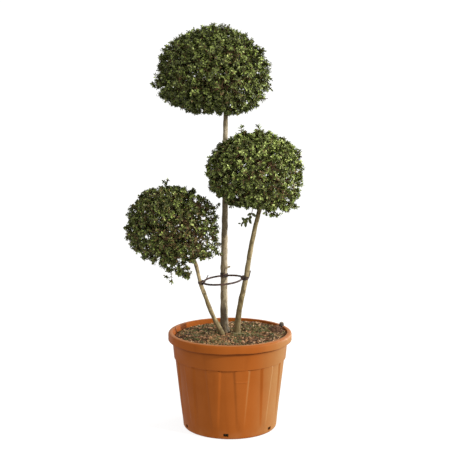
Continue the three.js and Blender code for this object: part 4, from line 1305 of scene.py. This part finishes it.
def leaf_sprays(branches, shares, size, rng, outlook):
    """Leaves in opposite pairs along shoots, each pair at right angles to the last, and one at each tip."""
    shares = np.asarray(shares)
    root, along = (each[:, :, None] for each in bezier(branches, shares))
    count, pairs = root.shape[:2]
    both = (count, pairs, 2)
    side = unit(np.cross(along, unit(rng.normal(0, 1, (count, 1, 3)))[:, :, None]))
    quarter = (np.arange(pairs) % 2)[None, :, None, None]
    side = np.where(quarter == 0, side, np.cross(along, side))
    spread = np.radians(rng.uniform(*LEAF_SPREAD, both))[..., None]
    sign = np.array([1, -1])[None, None, :, None]
    leaf = np.cos(spread) * along + np.sin(spread) * sign * side
    leaf = unit(leaf + rng.normal(0, LEAF_SWAY, leaf.shape))
    face = along + LEAF_FACE_UP * UP + rng.normal(0, LEAF_FACE_SWAY, leaf.shape)
    face = face + np.reshape(outlook, (-1, 1, 1, 3))
    size = np.broadcast_to(size, count)
    growth = np.interp(shares, *LEAF_GROWTH)[None, :, None]
    length = size[:, None, None] * growth * rng.uniform(*LEAF_SIZE_SHARES, both)
    owner = np.arange(count)
    end_root = bezier(branches, [END_LEAF_PLACE])[0][:, 0]
    end_way = unit(bezier(branches, [1.0])[1][:, 0] + rng.normal(0, END_LEAF_SWAY, (count, 3)))
    end_face = rng.normal(0, 1, (count, 3)) + END_LEAF_FACE_UP * UP
    end_length = size * rng.uniform(*END_LEAF_SHARES, count)
    return {
        "root": np.concatenate([np.repeat(root, 2, axis=2).reshape(-1, 3), end_root]),
        "way": np.concatenate([leaf.reshape(-1, 3), end_way]),
        "face": np.concatenate([face.reshape(-1, 3), end_face]),
        "length": np.concatenate([length.ravel(), end_length]),
        "rank": np.concatenate([np.broadcast_to(shares[None, :, None], both).ravel(), np.ones(count)]),
        "owner": np.concatenate([np.broadcast_to(owner[:, None, None], both).ravel(), owner]),
    }


def chosen(leaves, which):
    return {key: values[which] for key, values in leaves.items()}


def leaf_mesh(leaves, stations):
    """Oval leaves folded along the midrib and curled at the tip, of a few triangles each."""
    root, way = leaves["root"], leaves["way"]
    across = unit(np.cross(leaves["face"], way))
    normal = np.cross(way, across)
    length = leaves["length"][:, None]
    half = length * LEAF_WIDTH / 2
    rows = [root]
    for share, width in stations:
        middle = root + way * share * length - normal * LEAF_CURL * share ** 2 * length
        lift = normal * LEAF_FOLD * width * half * 2
        rows += [middle - across * width * half + lift, middle, middle + across * width * half + lift]
    rows.append(root + way * length - normal * LEAF_CURL * LEAF_TIP_CURL * length)
    triangles = [(0, 2, 1), (0, 3, 2)]
    for left in range(1, 3 * len(stations) - 2, 3):
        for edge in (left, left + 1):
            triangles += [(edge, edge + 1, edge + 4), (edge, edge + 4, edge + 3)]
    tip = len(rows) - 1
    triangles += [(tip - 3, tip - 2, tip), (tip - 2, tip - 1, tip)]
    return np.stack(rows, axis=1), repeated([np.array(triangles)], len(root), len(rows))


def deal_tones(ball, leaves, spray, rng):
    """A tone for each leaf: old leaves are deep green, the young ones at the tips fresher on some sprays and
    on the lit side, painted light as well as growth.
    """
    vigour = rng.uniform(*SPRAY_VIGOUR, spray.max() + 1)[spray] * ball["fresh"] / EVEN_FRESHNESS
    vigour = (vigour * rng.uniform(*SHOOT_VIGOUR, len(spray)))[leaves["owner"]]
    # Fresher toward the lit side: painted light as well as growth
    vigour *= 1 + SUN_SHARE * unit(leaves["root"] - ball["centre"]) @ unit(SUN_WAY)
    age = np.clip(leaves["rank"] * vigour, 0, 1)
    steps = np.cumsum([np.interp(age, TONE_AGES, shares) for shares in TONE_SHARES], axis=0)
    tone = np.sum(rng.uniform(0, 1, len(age)) * steps[-1] > steps, axis=0)
    withered = rng.uniform(0, 1, len(age)) < ball["bronze"] + BARE_BRONZE * bareness(ball, leaves["root"])
    return np.where(withered, TONE_NAMES.index("bronze"), np.minimum(tone, len(TONE_SHARES) - 1))


def stated(points, ball, key):
    """Points of a ball's strays, each replaced by the one stated for it, if any."""
    return np.array([each[key] or point for each, point in zip(ball["strays"], points.tolist())], float)


def stray_shoots(ball, rng):
    """Long shoots that the shears left, reaching the stated tips, and the side shoots along them."""
    tips = np.array([each["tip"] for each in ball["strays"]], float)
    foot = stated(ball_point(ball, unit(tips - ball["centre"]), STRAY_FOOT_SHARE), ball, "foot")
    knee = stated((foot + tips) / 2 + rng.normal(0, STRAY_WANDER, tips.shape), ball, "knee")
    strays = foot, knee, tips
    side_tips = []
    for number, each in enumerate(ball["strays"]):
        count = each["sides"]
        if count == 0:
            continue
        shares = rng.uniform(*SIDE_SHARES, count)
        points, headings = bezier([ends[number:number + 1] for ends in strays], shares)
        spread = unit(headings[0] + rng.normal(0, SIDE_SPREAD, (count, 3)))
        reach = SIDE_SHOOT_LENGTH * (SIDE_TAPER[0] - SIDE_TAPER[1] * shares)
        reach = reach * rng.uniform(*SIDE_LENGTH_SHARES, count)
        side_tips.append(points[0] + spread * reach[:, None])
    return strays, branch_out(strays, np.concatenate(side_tips), SIDE_FEET, rng)


def grow_branches(ball, rng):
    """Every order of branch in a ball, from the stem that carries on from its limb to the leafy shoots."""
    draw = seeded_random(ball["seed"])
    axis = curve_points(ball["stem"]["route"], HEART_STEP)
    end = axis[-1]
    heart = lerp(end, ball["centre"], HEART_SHARE)
    knee = end + unit(end - axis[-2]) * np.linalg.norm(heart - end) / 2
    inner = tuple(point[None] for point in (end, knee, heart))
    bough_ways = spread_directions(BOUGH_COUNT, draw)
    twig_ways = spread_directions(ball["twigs"], draw)
    boughs = branch_out(inner, ball_point(ball, bough_ways, BOUGH_SHARE), BOUGH_FEET, rng)
    twigs = branch_out(boughs, ball_point(ball, twig_ways, TWIG_SHARE), TWIG_FEET, rng)
    spray_count = SPRAYS_PER_TWIG * ball["twigs"]
    spray_ways = spread_directions(spray_count, rng.random)
    ragged = np.clip(rng.normal(0, RAGGED, spray_count), -2 * RAGGED, 2 * RAGGED)
    spray_tips = ball_point(ball, spray_ways, rng.uniform(*SPRAY_SHARES, spray_count))
    sprays = branch_out(twigs, spray_tips, SPRAY_FEET, rng)

    ways = spread_directions(ball["shoots"], rng.random)
    spray = np.argmax(ways @ spray_ways.T, axis=1)
    ways = unit(lerp(ways, spray_ways[spray], TUFT_PULL))
    tips = ball_point(ball, ways, rng.triangular(*SHOOT_SHARES, len(ways)) + ragged[spray])
    kept = clear_of_limbs(tips, SHOOT_CLEARANCE) & out_of_gaps(ball, tips, rng)
    shoots = branch_out(sprays, tips[kept], SHOOT_FEET, rng, SHOOT_FOLLOW)

    ways = spread_directions(ball["inner_shoots"], rng.random)
    tips = ball_point(ball, ways, rng.uniform(*INNER_SHARES, len(ways)))
    tips = tips[clear_of_limbs(tips, INNER_CLEARANCE) & out_of_gaps(ball, tips, rng)]
    inner_shoots = branch_out(twigs, tips, INNER_FEET, rng, SHOOT_FOLLOW)
    strays, sides = stray_shoots(ball, rng)
    return {
        "inner": inner, "boughs": boughs, "twigs": twigs, "sprays": sprays, "shoots": shoots,
        "inner_shoots": inner_shoots, "strays": strays, "sides": sides, "spray_of_shoot": spray[kept],
    }


def make_wood(ball, branches, material, short):
    shapes = []
    for order, (points, foot_girth, tip_girth, sides) in BRANCH_FORMS.items():
        shares = np.linspace(0, 1, points)
        shapes.append(tubes(bezier(branches[order], shares)[0], lerp(foot_girth, tip_girth, shares), sides))
    make_piece("twigs_" + short, shapes, material, ball["node"])


def grow_leaves(ball, branches, rng):
    """Leaves of the outer shoots and of the inner ones, as two sets with a tone for each leaf."""
    strays = {key: np.array([each[key] for each in ball["strays"]]) for key in ("leaf", "outlook", "deep")}
    plans = [
        ("shoots", "outer", PAIR_SHARES, 1.0),
        ("sprays", "inner", SPRAY_PAIR_SHARES, 1.0),
        ("inner_shoots", "inner", INNER_PAIR_SHARES, INNER_LEAF),
        ("strays", "outer", STRAY_PAIR_SHARES, strays["leaf"]),
        ("sides", "outer", PAIR_SHARES, 1.0),
    ]
    sets = {"outer": [], "inner": []}
    for order, where, shares, size in plans:
        facing = strays["outlook"] if order == "strays" else (0, 0, 0)
        leaves = leaf_sprays(branches[order], shares, ball["leaf"] * size, rng, facing)
        spray = branches["spray_of_shoot"] if order == "shoots" else np.arange(len(branches[order][0]))
        leaves["tone"] = deal_tones(ball, leaves, spray, rng)
        if order == "strays":
            deep = strays["deep"][leaves["owner"]]
            leaves["tone"] = np.where(deep, TONE_NAMES.index("deep"), leaves["tone"])
        ends = leaves["root"] + leaves["way"] * leaves["length"][:, None]
        kept = clear_of_limbs(ends, LIMB_CLEARANCE) & (rng.uniform(0, 1, len(ends)) > LEAF_LOSS)
        if order not in ("strays", "sides"):
            kept &= skin_share(ball, ends) < SPACE_SHARE
            kept &= out_of_gaps(ball, (leaves["root"] + ends) / 2, rng)
            kept &= rng.uniform(0, 1, len(ends)) > bareness(ball, leaves["root"])
        sets[where].append(chosen(leaves, kept))
    return {where: {key: np.concatenate([part[key] for part in parts]) for key in parts[0]}
            for where, parts in sets.items()}


def grow_ball(ball, finishes, twig_material):
    rng = np.random.default_rng(ball["seed"])
    short = ball["node"].replace("ball_", "")
    branches = grow_branches(ball, rng)
    make_wood(ball, branches, twig_material, short)
    sets = grow_leaves(ball, branches, rng)
    for number, name in enumerate(TONE_NAMES):
        shapes = []
        for where, stations in (("outer", LEAF_STATIONS), ("inner", INNER_STATIONS)):
            leaves = sets[where]
            shapes.append(leaf_mesh(chosen(leaves, leaves["tone"] == number), stations))
        make_piece("leaves_%s_%s" % (short, name), shapes, finishes[name], ball["node"])


# Studio

def make_stage():
    """A pale round floor, and a wall of the same stuff far round it that only the camera sees."""
    ring = turned(STAGE_RADIUS, round_angles(STAGE_SIDES), 0)
    wall = np.concatenate([ring, ring + STAGE_HEIGHT * UP])
    material = stage_finish()
    for name, vertices, faces in (
        ("studio_floor", ring, [list(range(STAGE_SIDES))]),
        ("studio_wall", wall, grid_faces(2, STAGE_SIDES).tolist()),
    ):
        mesh = bpy.data.meshes.new(name)
        mesh.from_pydata(vertices.tolist(), [], faces)
        mesh.materials.append(material)
        stage = add_object(name, mesh)
        stage.visible_diffuse = False
        stage.visible_glossy = False
        stage.visible_shadow = name == "studio_floor"


def add_light(name, place, size, power, tint):
    """A round lamp that looks at the middle of the plant."""
    lamp = bpy.data.lights.new(name, "AREA")
    lamp.shape = "DISK"
    lamp.size = size
    lamp.energy = power
    lamp.color = tint
    lamp_object = add_object(name, lamp)
    lamp_object.location = place
    x, y, z = np.array(LIGHT_TARGET, float) - np.array(place, float)
    lamp_object.rotation_euler = (math.atan2(math.hypot(x, y), -z), 0, math.atan2(-x, y))


def light_studio():
    """A white sky, brighter toward one side, a small key light and a soft one on the far edge."""
    scene = bpy.context.scene
    scene.view_settings.view_transform = "Standard"
    scene.world = bpy.data.worlds.new("studio")
    scene.world.use_nodes = True
    tree = scene.world.node_tree
    background = tree.nodes["Background"]
    background.inputs["Color"].default_value = WHITE
    way = add_node(tree, "ShaderNodeTexCoord", "Generated")
    toward = add_node(tree, "ShaderNodeVectorMath", "Value", {0: way, 1: SKY_WAY}, operation="DOT_PRODUCT")
    low, high = SKY_STRENGTH
    ends = {"Value": toward, "From Min": -1, "To Min": low, "To Max": high}
    strength = add_node(tree, "ShaderNodeMapRange", "Result", ends)
    tree.links.new(strength, background.inputs["Strength"])
    add_light("key", KEY_PLACE, KEY_SIZE, KEY_POWER, KEY_TINT)
    add_light("edge", EDGE_PLACE, EDGE_SIZE, EDGE_POWER, WHITE[:3])


def add_camera():
    lens = bpy.data.cameras.new("photo_camera")
    lens.lens = CAMERA_LENS
    lens.sensor_width = SENSOR
    lens.sensor_fit = "HORIZONTAL"
    camera = add_object("photo_camera", lens)
    camera.location = [value * MM for value in CAMERA_PLACE]
    camera.rotation_euler = (math.radians(90 - CAMERA_PITCH), 0, 0)
    bpy.context.scene.camera = camera


def build():
    soil_rng = np.random.default_rng(SOIL_SEED)
    make_pot()
    make_soil(soil_rng)
    make_chips(soil_rng)
    make_moss(soil_rng)
    make_straw()
    barks = {name: bark_finish(name) for name in BARK_COLOURS}
    bark_rng = np.random.default_rng(BARK_SEED)
    for stem in STEMS:
        make_stem(stem, barks[stem["slot"]], bark_rng)
    make_ring(bark_rng)
    wire = plain_finish("wire", "tie_wire", *WIRE_COLOURS)
    for tie in TIES:
        make_tie(*tie, wire)
    make_peg()
    finishes = {name: plain_finish("leaf", "leaf_" + name, *tone) for name, tone in TONES.items()}
    twig_material = plain_finish("twig", "twig_bark", *TWIG_COLOURS)
    for ball in BALLS:
        grow_ball(ball, finishes, twig_material)


add_camera()
make_stage()
light_studio()
build()
